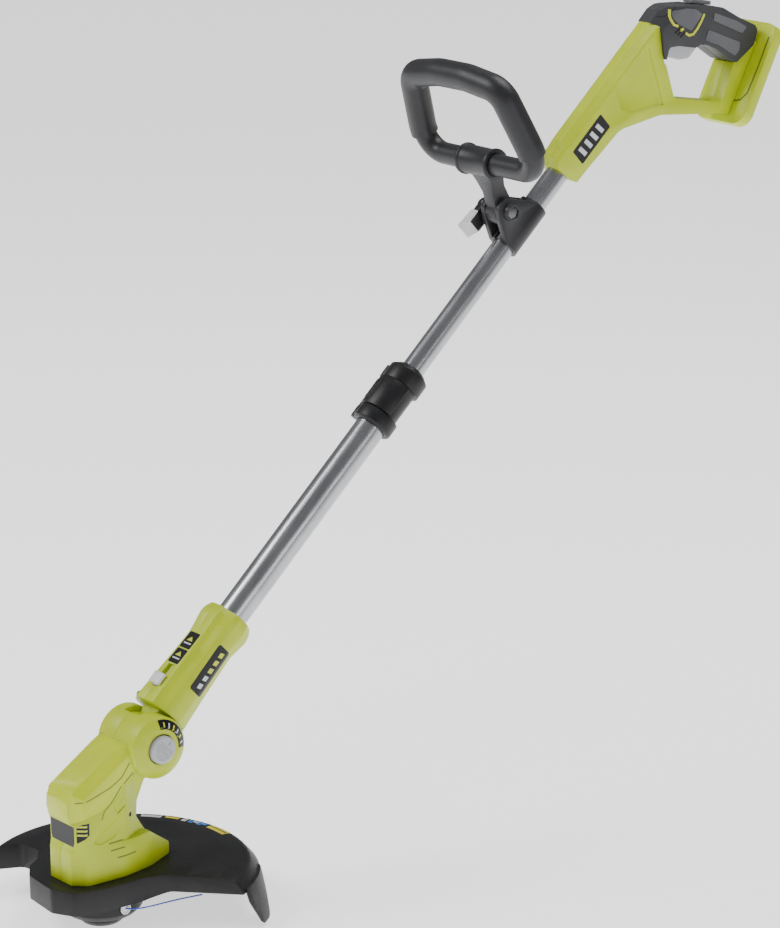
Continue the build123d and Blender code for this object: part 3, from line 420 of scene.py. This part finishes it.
def frame_of(u: Vector, v: Vector, outward: Vector, origin: Vector) -> Matrix:
    """Returns a drawing frame whose third axis points out of the surface."""
    place = Matrix((u, v, outward)).transposed().to_4x4()
    place.translation = origin
    return place


SHAFT = shaft_matrix()
REAR, ALONG = SHAFT.col[1].to_3d(), SHAFT.col[2].to_3d()
HEIGHT = Vector((0, 0, SHAFT_HEIGHT))
NO_SHIFT = Vector((0, 0, 0))


def shaft_side(sign: int) -> Matrix:
    """Returns the frame for drawing (rearwards, along) on a side of the shaft's pieces."""
    return frame_of(REAR, ALONG, Vector((sign, 0, 0)), HEIGHT)


def shaft_front() -> Matrix:
    """Returns the frame for drawing (sideways, along) on the front of the shaft's pieces."""
    return frame_of(Vector((1, 0, 0)), ALONG, -REAR, HEIGHT)


def ground_side(sign: int) -> Matrix:
    """Returns the frame for drawing (rearwards, up) on the head's near or far side."""
    return frame_of(Vector((0, 1, 0)), Vector((0, 0, 1)), Vector((sign, 0, 0)), NO_SHIFT)


def ground_front() -> Matrix:
    """Returns the frame for drawing (sideways, up) on the head's nose."""
    return frame_of(Vector((1, 0, 0)), Vector((0, 0, 1)), Vector((0, -1, 0)), NO_SHIFT)


def from_above() -> Matrix:
    """Returns the frame for drawing (sideways, rearwards) on upper faces."""
    return frame_of(Vector((1, 0, 0)), Vector((0, 1, 0)), Vector((0, 0, 1)), NO_SHIFT)


def polar(centre: Point, radius: float, angle: float) -> Point:
    """Returns the point at a radius and an angle in radians about a centre."""
    return centre[0] + radius * math.cos(angle), centre[1] + radius * math.sin(angle)


def arc(centre: Point, inner: float, outer: float, start: float, end: float,
        steps: int = 14) -> Outline:
    """Returns the outline of a piece of a ring, with angles in degrees."""
    angles = [math.radians(start + (end - start) * i / steps) for i in range(steps + 1)]
    far = [polar(centre, outer, angle) for angle in angles]
    near = [polar(centre, inner, angle) for angle in reversed(angles)]
    return far + near


def band(points: Outline, width: float) -> Outline:
    """Returns the outline of a stroke of one width along a few points."""
    left, right = [], []
    for i, (u, v) in enumerate(points):
        before, after = points[max(0, i - 1)], points[min(len(points) - 1, i + 1)]
        along = Vector((after[0] - before[0], after[1] - before[1])).normalized() * width / 2
        left.append((u - along.y, v + along.x))
        right.append((u + along.y, v - along.x))
    return left + right[::-1]


def box(low_u: float, high_u: float, low_v: float, high_v: float) -> Outline:
    """Returns a rectangle's outline."""
    return [(low_u, low_v), (high_u, low_v), (high_u, high_v), (low_u, high_v)]


def put(bm: bmesh.types.BMesh, name: str, body: str, finish: Finishes) -> bpy.types.Object:
    """Turns a bmesh into a finished piece that rides on a body.

    Args:
        bm: the shape, in metres, which is freed.
        name: the piece's name.
        body: the CAD body that it moves with.
        finish: its finish.

    Returns:
        The new object.
    """
    mesh = bpy.data.meshes.new(name)
    bm.to_mesh(mesh)
    bm.free()
    shade(mesh)
    mesh.materials.append(finish.value.material())
    piece = bpy.data.objects.new(name, mesh)
    bpy.context.scene.collection.objects.link(piece)
    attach(piece, body)
    return piece


def shade(mesh: bpy.types.Mesh) -> None:
    """Shades a mesh smoothly between its creases."""
    mesh.polygons.foreach_set("use_smooth", [True] * len(mesh.polygons))
    mesh.set_sharp_from_angle(angle=CREASE_ANGLE)


def finish_of(node: str) -> Finishes:
    """Returns the finish of a CAD node."""
    return NODE_FINISH.get(node, SLOT_FINISH[Slot(FACTS[node][1])])


class Surface:
    """The CAD surface that a trim is laid on."""

    def __init__(self, *nodes: str) -> None:
        """Gathers the triangles of some CAD nodes."""
        points, faces = [], []
        for node in nodes:
            mesh = FRAME["nodes"][node].data
            start = len(points)
            points.extend(v.co.copy() for v in mesh.vertices)
            faces.extend([start + i for i in p.vertices] for p in mesh.polygons)
        self.tree = BVHTree.FromPolygons(points, faces)

    def depth(self, start: Vector, outward: Vector) -> float | None:
        """Returns how far a point lies from the surface, or None where the ray misses."""
        hit, _, _, distance = self.tree.ray_cast(start, -outward)
        return distance if hit else None


@dataclass
class Trim:
    """A thin label, panel, stroke or mark that lies on a CAD surface.

    Attributes:
        name: the piece's name.
        on: the CAD nodes that it lies on; it rides with the first.
        frame: the drawing frame of the outline.
        outline: its outline in millimetres.
        finish: its finish.
        slot: the record's slot; not used.
        thickness: how far it stands out, in millimetres.
        corner: the rounding of its corners in millimetres.
        step: the size of its faces in millimetres.
        inset: how far it is drawn in from the outline, in millimetres.
        reach: how far outside the frame its rays start, in metres.
        fall: how far a point may lie from the middle one, in metres.
    """

    name: str
    on: tuple[str, ...]
    frame: Matrix
    outline: Outline
    finish: Finishes
    slot: Slot
    thickness: float = LABEL_THICKNESS
    corner: float = 0.0
    step: float = 3.0
    inset: float = 0.0
    reach: float = 0.10
    fall: float = 0.02

    def build(self) -> bpy.types.Object:
        """Makes the trim and lets it ride with the first node that it lies on."""
        bm = bmesh.new()
        verts = [bm.verts.new((u * MM, v * MM, 0.0)) for u, v in self.outline]
        bm.faces.new(verts)
        if self.corner:
            bmesh.ops.bevel(bm, geom=bm.verts[:], offset=self.corner * MM, offset_type="OFFSET",
                            segments=4, profile=0.5, affect="VERTICES", material=-1)
        if self.inset:
            ring = bmesh.ops.inset_region(bm, faces=bm.faces[:], thickness=self.inset * MM,
                                          use_even_offset=True)
            bmesh.ops.delete(bm, geom=ring["faces"], context="FACES")
        self.divide(bm)
        self.lay(bm)
        top = bmesh.ops.extrude_face_region(bm, geom=bm.faces[:])
        raised = [g for g in top["geom"] if isinstance(g, bmesh.types.BMVert)]
        outward = self.frame.col[2].to_3d()
        bmesh.ops.translate(bm, verts=raised, vec=outward * (self.thickness + SUNK) * MM)
        bmesh.ops.recalc_face_normals(bm, faces=bm.faces[:])
        body = FACTS[self.on[0]][0]
        LOG.info("trim %s", self.name)
        return put(bm, self.name, body, self.finish)

    def divide(self, bm: bmesh.types.BMesh) -> None:
        """Cuts the flat outline into small faces so that it can follow a curve."""
        for axis in (0, 1):
            values = [v.co[axis] for v in bm.verts]
            count = int((max(values) - min(values)) / (self.step * MM))
            normal = Vector((axis == 0, axis == 1, 0))
            for i in range(1, count + 1):
                place = min(values) + (max(values) - min(values)) * i / (count + 1)
                bmesh.ops.bisect_plane(bm, geom=bm.verts[:] + bm.edges[:] + bm.faces[:],
                                       plane_co=normal * place, plane_no=normal)

    def lay(self, bm: bmesh.types.BMesh) -> None:
        """Moves the flat outline's points onto the surface, sunk by a hair."""
        surface = Surface(*self.on)
        outward = self.frame.col[2].to_3d()
        found = {}
        for vert in bm.verts:
            start = self.frame @ vert.co + outward * self.reach
            found[vert] = (start, surface.depth(start, outward))
        known = sorted(d for _, d in found.values() if d is not None)
        middle = known[len(known) // 2] if known else self.reach
        missed = []
        for vert, (start, depth) in found.items():
            held = depth is not None and abs(depth - middle) < self.fall
            if not held:
                missed.append(vert)
            vert.co = start - outward * ((depth if held else middle) + SUNK * MM)
        bmesh.ops.delete(bm, geom=missed, context="VERTS")


def soften(node: str, width: float, segments: int = 2,
           cutters: tuple[bpy.types.Object, ...] = ()) -> bpy.types.Object:
    """Makes a rounded copy of a CAD node that stands for it.

    The rounding is made smaller in steps until no face strays from the node's surface.

    Args:
        node: the CAD node.
        width: the rounding of its edges in millimetres.
        segments: how many faces each rounding has.
        cutters: closed shapes to take away before the edges are rounded.

    Returns:
        The copy.
    """
    body, slot = FACTS[node]
    bm = bmesh.new()
    bm.from_mesh(FRAME["nodes"][node].data)
    bmesh.ops.remove_doubles(bm, verts=bm.verts[:], dist=WELD_DISTANCE)
    bmesh.ops.dissolve_limit(bm, angle_limit=FLAT_ANGLE, verts=bm.verts[:], edges=bm.edges[:])
    piece = put(bm, node + "_rounded", body, finish_of(node))
    for cutter in cutters:
        cut = piece.modifiers.new("cut", "BOOLEAN")
        cut.object = cutter
        cut.operation = "DIFFERENCE"
        cut.solver = "EXACT"
    if cutters:
        bake_down(piece)
    plain = piece.data
    tree = BVHTree.FromPolygons([v.co for v in plain.vertices],
                                [tuple(p.vertices) for p in plain.polygons])
    for share, clamp in ROUNDING_TRIES:
        piece.data = plain
        bevel = piece.modifiers.new("rounding", "BEVEL")
        bevel.width = width * share * MM
        bevel.segments = segments
        bevel.limit_method = "ANGLE"
        bevel.angle_limit = ROUNDED_ANGLE
        bevel.use_clamp_overlap = clamp
        bake_down(piece)
        if stays_close(piece.data, tree, width * share * MM * STRAY_REACH):
            break
    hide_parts(node)
    LOG.info("rounded %s by %.2f of its width: %d faces", node, share, len(piece.data.polygons))
    return piece


def stays_close(mesh: bpy.types.Mesh, tree: BVHTree, reach: float) -> bool:
    """Says whether every triangle of a rounded mesh lies by the surface that it came from.

    Args:
        mesh: the rounded mesh.
        tree: the surface before rounding.
        reach: how far a corner or a centre may be from it, in metres.
    """
    mesh.calc_loop_triangles()
    for triangle in mesh.loop_triangles:
        corners = [mesh.vertices[i].co for i in triangle.vertices]
        middles = [(corners[i] + corners[i - 1]) / 2 for i in range(3)]
        for point in (*corners, *middles, sum(corners, Vector()) / 3):
            if tree.find_nearest(point, reach)[0] is None:
                return False
    return True


def bake_down(piece: bpy.types.Object) -> None:
    """Applies a piece's modifiers to its mesh."""
    ready = piece.evaluated_get(bpy.context.evaluated_depsgraph_get())
    mesh = bpy.data.meshes.new_from_object(ready)
    mesh.name = piece.name
    piece.modifiers.clear()
    piece.data = mesh
    shade(mesh)


# ---------------------------------------------------------------- sub-assemblies

NEAR, FAR = 1, -1
SIDES = ((NEAR, "near"), (FAR, "far"))


@dataclass
class LoopHandle:
    """The front loop handle with its bracket, bolt and quick lever."""

    roundings: tuple[tuple[str, float], ...] = (
        ("loop_mast", 0.8), ("loop_bracket", 0.6), ("lever_cam", 0.4), ("lever_paddle", 0.9),
        ("clamp_bolt", 0.3), ("loop_grip", 0.9),
    )

    def build(self) -> None:
        """Rounds the moulded parts, the lever and the bolt."""
        for node, width in self.roundings:
            soften(node, width)


@dataclass
class RearHandle:
    """The lime D handle with its overmoulded grip, trigger, lock and battery foot."""

    shell_rounding: float = 1.2
    grip_rounding: float = 1.0
    shell_half_width: float = 14.5
    recess_depth: float = 1.9
    recess_slope: float = 4.0
    recess_rise: float = 2.6
    recess: tuple[Point, ...] = (
        (-15.5, 976.0), (-14.5, 921.5), (6.5, 913.0), (21.5, 920.0), (45.0, 950.0),
    )
    label: tuple[float, float, float, float] = (-11.5, 8.5, 836.0, 888.0)
    panels: tuple[tuple[str, tuple[Point, ...], float], ...] = (
        ("front", ((-17, 1027), (-13, 1021.5), (-2, 1022.5), (8, 1026.5), (18, 1031), (17, 1053),
                   (6, 1050.5), (-5, 1042)), 2.0),
        ("upper", ((29, 1066), (34, 1059.5), (76, 1078.5), (76, 1087.5), (60, 1082)), 1.5),
        ("lower", ((36, 1048), (81, 1070), (86.5, 1063), (86, 1055), (60, 1047.5),
                   (41, 1037.5)), 1.5),
    )
    strokes: tuple[tuple[Point, ...], ...] = (
        ((-19.5, 1027), (-16, 1021), (-12, 1018.5), (-6, 1018), (0, 1021)),
        ((18.5, 1055), (21, 1047), (22.6, 1038), (22.6, 1030), (19, 1025), (13.5, 1023.5)),
        ((6, 1020.5), (7.6, 1024.6)),
    )
    nose_seam: tuple[Point, ...] = ((-27, 1009), (-19, 1018), (-17.5, 1026), (-16, 1033))

    def cutter(self, sign: int) -> bpy.types.Object:
        """Returns the sloping-walled shape that sinks the side recess."""
        bm = bmesh.new()
        frame = shaft_side(sign)
        level = (self.shell_half_width - self.recess_depth) * MM
        face = bm.faces.new([bm.verts.new((y * MM, s * MM, level)) for y, s in self.recess])
        middle = face.calc_center_median()
        grown = bmesh.ops.extrude_face_region(bm, geom=[face])
        top = [g for g in grown["geom"] if isinstance(g, bmesh.types.BMVert)]
        for vert in top:
            outward = (vert.co - middle).normalized()
            vert.co += outward * self.recess_slope * MM + Vector((0, 0, self.recess_rise * MM))
        bmesh.ops.transform(bm, matrix=frame, verts=bm.verts[:])
        bmesh.ops.recalc_face_normals(bm, faces=bm.faces[:])
        mesh = bpy.data.meshes.new("recess_cutter")
        bm.to_mesh(mesh)
        bm.free()
        cutter = bpy.data.objects.new("recess_cutter", mesh)
        bpy.context.scene.collection.objects.link(cutter)
        return cutter

    def shells(self) -> None:
        """Rounds the two shells and sinks a recess in each."""
        for node, sign in (("handle_shell_left", FAR), ("handle_shell_right", NEAR)):
            cutter = self.cutter(sign)
            soften(node, self.shell_rounding, cutters=(cutter,))
            bpy.data.objects.remove(cutter)
        soften("battery_foot", 1.0)

    def labels(self) -> None:
        """Lays the dark side labels with their plain bars."""
        low_y, high_y, low_s, high_s = self.label
        for sign, side in SIDES:
            node = ("handle_shell_right",) if sign > 0 else ("handle_shell_left",)
            frame = shaft_side(sign)
            Trim("handle_label_" + side, node, frame, box(low_y, high_y, low_s, high_s),
                 Finishes.LABEL, Slot.BLACK, corner=1.6).build()
            for i in range(4):
                start = low_s + 6.0 + i * 10.6
                Trim(f"handle_label_bar_{i}_{side}", node, frame,
                     [(low_y + 4, start), (high_y - 4, start + 1.5), (high_y - 4, start + 6.5),
                      (low_y + 4, start + 5)],
                     Finishes.PRINT, Slot.GREY, PRINT_THICKNESS).build()

    def grip(self) -> None:
        """Rounds the grip and lays its dimpled panels, lime strokes and seams."""
        for node in ("grip_left", "grip_right"):
            soften(node, self.grip_rounding, 3)
        soften("trigger", 0.6)
        soften("lock_button", 0.5)
        for sign, side in SIDES:
            nodes = ("grip_right",) if sign > 0 else ("grip_left",)
            frame = shaft_side(sign)
            for name, points, corner in self.panels:
                edge = Finishes.BLACK if name == "front" else Finishes.LIME_TRIM
                Trim(f"grip_edge_{name}_{side}", nodes, frame, list(points), edge, Slot.GRIP,
                     0.25, corner).build()
                Trim(f"grip_panel_{name}_{side}", nodes, frame, list(points), Finishes.DIMPLES,
                     Slot.GRIP, 0.6, corner, inset=0.7).build()
            for i, points in enumerate(self.strokes):
                Trim(f"grip_stroke_{i}_{side}", nodes, frame, band(list(points), 2.6),
                     Finishes.LIME_TRIM, Slot.LIME, 0.8, 0.4).build()
            for i in range(3):
                start = 2.5 + 4.4 * i
                Trim(f"grip_rib_{i}_{side}", nodes, frame,
                     band([(start, 1013.5 + i), (start + 1.2, 1021 + i)], 1.0), Finishes.BLACK,
                     Slot.GRIP, 0.7).build()
            Trim("grip_nose_seam_" + side, nodes, frame, band(list(self.nose_seam), 0.9),
                 Finishes.DARK, Slot.GRIP, 0.2).build()

    def foot(self) -> None:
        """Lays painted shade strips along the foot's long grooves."""
        for sign, side in SIDES:
            points = [(sign * x, along) for x, along in
                      ((31, 1095), (31.5, 1060), (30, 1034), (24, 1026), (12, 1023))]
            # Each groove is a thin darker lime strip, painted shade for the groove.
            Trim("foot_groove_shade_" + side, ("battery_foot",), shaft_front(), band(points, 2.2),
                 Finishes.LIME_SHADE, Slot.LIME, 0.2, reach=0.03).build()

    def build(self) -> None:
        """Builds the rear handle's looks."""
        self.shells()
        self.labels()
        self.grip()
        self.foot()


@dataclass
class Tail:
    """The lime tail housing with its rail sticker, side labels and edge slider."""

    rounding: float = 1.0
    label: tuple[float, float, float, float] = (-10.5, 8.5, 139.0, 193.0)
    stickers: tuple[Point, ...] = ((151.5, 169.0), (170.5, 190.0))

    def build(self) -> None:
        """Rounds the shells and lays the labels."""
        for node in ("tail_shell_left", "tail_shell_right"):
            soften(node, self.rounding)
        soften("edge_slider", 0.6)
        low_y, high_y, low_s, high_s = self.label
        for sign, side in SIDES:
            node = ("tail_shell_right",) if sign > 0 else ("tail_shell_left",)
            frame = shaft_side(sign)
            Trim("tail_label_" + side, node, frame, box(low_y, high_y, low_s, high_s),
                 Finishes.LABEL, Slot.BLACK, corner=2.5).build()
            for i in range(5):
                start = low_s + 5 + i * 9.4
                finish = Finishes.PRINT if i < 2 else Finishes.PRINT_LIME
                Trim(f"tail_label_bar_{i}_{side}", node, frame,
                     [(-3.4, start), (1.6, start + 1.5), (1.6, start + 7), (-3.4, start + 5.5)],
                     finish, Slot.GREY, PRINT_THICKNESS).build()
        shells = ("tail_shell_right", "tail_shell_left")
        frame = shaft_front()
        for i, (low, high) in enumerate(self.stickers):
            Trim(f"rail_sticker_{i}", shells, frame, box(-8.2, 8.2, low, high), Finishes.LABEL,
                 Slot.BLACK, corner=1.6).build()
            Trim(f"rail_mark_{i}", shells, frame, box(-5.5, 5.5, low + 5.0, low + 6.6),
                 Finishes.PRINT, Slot.GREY, PRINT_THICKNESS).build()
            Trim(f"rail_arrow_{i}", shells, frame, [(-4.5, low + 9), (4.5, low + 9), (0, low + 14)],
                 Finishes.PRINT_LIME, Slot.LIME, PRINT_THICKNESS).build()


@dataclass
class Head:
    """The lime head housing with its pivot disc, nose label and painted shade for its grooves and
    slots.
    """

    rounding: float = 1.4
    disc_centre: Point = (52.17, 177.66)
    bars: int = 3

    def build(self) -> None:
        """Rounds the housing and lays its trims."""
        for node in ("head_shell_left", "head_shell_right", "head_cap"):
            soften(node, self.rounding)
        soften("pivot_button", 0.5)
        self.disc()
        self.nose()
        self.sides()

    def disc(self) -> None:
        """Lays the pivot's arc label with its plain ticks."""
        shell = ("head_shell_right", "head_cap")
        frame = ground_side(NEAR)
        Trim("pivot_label", shell, frame, arc(self.disc_centre, 20.5, 29.5, -8, 92),
             Finishes.LABEL, Slot.BLACK, corner=0.8).build()
        for i in range(6):
            start = 2 + i * 15
            finish = Finishes.PRINT_LIME if i % 2 else Finishes.PRINT
            Trim(f"pivot_tick_{i}", shell, frame,
                 arc(self.disc_centre, 22.5, 27.0, start, start + 4, 2), finish, Slot.LIME,
                 PRINT_THICKNESS).build()

    def nose(self) -> None:
        """Lays the nose label and its lime bars."""
        shells = ("head_shell_right", "head_shell_left", "head_cap")
        Trim("nose_label", shells, ground_front(),
             [(-18, 93), (18, 93), (20, 98), (20, 115), (-20, 115), (-20, 98)], Finishes.LABEL,
             Slot.BLACK, step=2.0).build()
        for sign, side in SIDES:
            frame = ground_side(sign)
            Trim("nose_label_" + side, shells, frame,
                 [(-45, 98), (-41, 98), (-30.5, 106), (-30.5, 118), (-36, 118), (-45, 114)],
                 Finishes.LABEL, Slot.BLACK, step=2.0).build()
            for i in range(self.bars):
                level = 105.5 + 4.4 * i
                Trim(f"nose_bar_{i}_{side}", shells, frame, box(-44, -33, level, level + 1.9),
                     Finishes.PRINT_LIME, Slot.LIME, 0.45, step=1.5).build()

    def sides(self) -> None:
        """Lays painted shade for the long grooves, the slots and the hole on each side."""
        for sign, side in SIDES:
            shells = ("head_shell_right",) if sign > 0 else ("head_shell_left",)
            both = shells + ("head_cap",)
            frame = ground_side(sign)
            grooves = (
                [(20, 169), (10, 156), (-4, 148.5), (-28, 141.7), (-42, 139.5)],
                [(24, 158), (10, 147), (-3, 133), (-12, 125.7), (-15, 117.5)],
            )
            # The grooves are thin darker lime strips, painted shade rather than cut relief.
            for i, points in enumerate(grooves):
                Trim(f"head_groove_shade_{i}_{side}", both, frame, band(points, 1.3),
                     Finishes.LIME_SHADE, Slot.LIME, GROOVE_THICKNESS).build()
            # The slots are thin darker lime strips, painted shade rather than cut slots.
            for i, (low, high, level) in enumerate(((-8, 9, 91), (-7, 10, 83.5), (0, 24, 75))):
                Trim(f"base_slot_shade_{i}_{side}", shells, frame,
                     band([(low, level), (high, level)], 1.5), Finishes.LIME_SHADE, Slot.LIME,
                     GROOVE_THICKNESS).build()
            # A near-black disc painted as the shade inside the side hole.
            Trim("side_hole_shade_" + side, shells, frame, arc((22, 113), 0.2, 2.4, 0, 350),
                 Finishes.DARK, Slot.LIME, 0.1, step=1.0).build()


@dataclass
class Guard:
    """The black debris guard with its plain stickers."""

    centre: Point = (-6.0, 26.0)
    inner: float = 120.0
    outer: float = 131.0
    stickers: tuple[tuple[str, float, float, Finishes, float], ...] = (
        ("white_long", 124, 134, Finishes.PRINT, 0.0),
        ("yellow", 115, 122, Finishes.PRINT_YELLOW, 2.0),
        ("white_dot", 110.5, 113, Finishes.PRINT, -1.0),
        ("blue_dot", 106.5, 109, Finishes.PRINT_BLUE, -4.0),
        ("white_dot_2", 104, 107, Finishes.PRINT, 3.0),
        ("blue_dot_2", 101.5, 104, Finishes.PRINT_BLUE, -4.0),
        ("blue_dot_3", 99, 101.5, Finishes.PRINT_BLUE, 3.0),
        ("yellow_wide", 84, 97, Finishes.PRINT_YELLOW, 0.0),
    )

    def build(self) -> None:
        """Rounds the guard and lays its stickers."""
        soften("guard", 0.9)
        for name, start, end, finish, shift in self.stickers:
            low = self.inner + max(0.0, shift)
            high = self.outer + min(0.0, shift)
            Trim("guard_sticker_" + name, ("guard",), from_above(),
                 arc(self.centre, low, high, start, end, 6), finish, Slot.WHITE, 0.2).build()
            middle = (low + high) / 2
            Trim("guard_sticker_line_" + name, ("guard",), from_above(),
                 arc(self.centre, middle - 0.7, middle + 0.7, start + 0.7, end - 0.7, 4),
                 Finishes.LABEL, Slot.BLACK).build()


@dataclass
class Spool:
    """The spool housing, its pale eyelet and its bump knob."""

    ring_radius: float = 4.4
    ring_tube: float = 1.1
    ring_sunk: float = 0.6

    def build(self) -> None:
        """Rounds the spool and adds the eyelet's pale ring."""
        soften("spool_housing", 1.0)
        soften("bump_knob", 1.2)
        quarter = math.radians(90)
        bm = bmesh.new()
        circle = bmesh.ops.create_circle(bm, segments=16, radius=self.ring_tube * MM)
        bmesh.ops.rotate(bm, verts=circle["verts"], cent=(0, 0, 0),
                         matrix=Matrix.Rotation(quarter, 3, "X"))
        bmesh.ops.translate(bm, verts=circle["verts"], vec=(self.ring_radius * MM, 0, 0))
        bmesh.ops.spin(bm, geom=bm.verts[:] + bm.edges[:], cent=(0, 0, 0), axis=(0, 0, 1),
                       angle=math.tau, steps=40, use_merge=True)
        low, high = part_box("line_eyelet")
        bmesh.ops.rotate(bm, verts=bm.verts[:], cent=(0, 0, 0),
                         matrix=Matrix.Rotation(quarter, 3, "Y"))
        place = (high[0] - self.ring_sunk * MM, (low[1] + high[1]) / 2, (low[2] + high[2]) / 2)
        bmesh.ops.translate(bm, verts=bm.verts[:], vec=place)
        bmesh.ops.recalc_face_normals(bm, faces=bm.faces[:])
        put(bm, "eyelet_ring", "spool", Finishes.WHITE)


@dataclass
class Collar:
    """The black telescoping collar and its lever."""

    rounding: float = 0.8

    def build(self) -> None:
        """Rounds the collar and its lever."""
        soften("collar_body", self.rounding)
        soften("collar_lever", self.rounding)


def dress_nodes() -> None:
    """Gives every CAD node its finish."""
    for node, obj in FRAME["nodes"].items():
        finish = finish_of(node)
        obj.data.materials.clear()
        obj.data.materials.append(finish.value.material())
        LOG.info("dressed %s as %s", node, finish.name.lower())


def main() -> None:
    """Builds every sub-assembly in order."""
    logging.basicConfig(level=logging.INFO)
    studio = Studio()
    studio.camera()
    CuttingLine().build()
    studio.lights()
    studio.floor()
    dress_nodes()
    for assembly in (LoopHandle(), RearHandle(), Tail(), Head(), Guard(), Spool(), Collar()):
        assembly.build()
        LOG.info("%s built", type(assembly).__name__)


if __name__ == "__main__":
    main()
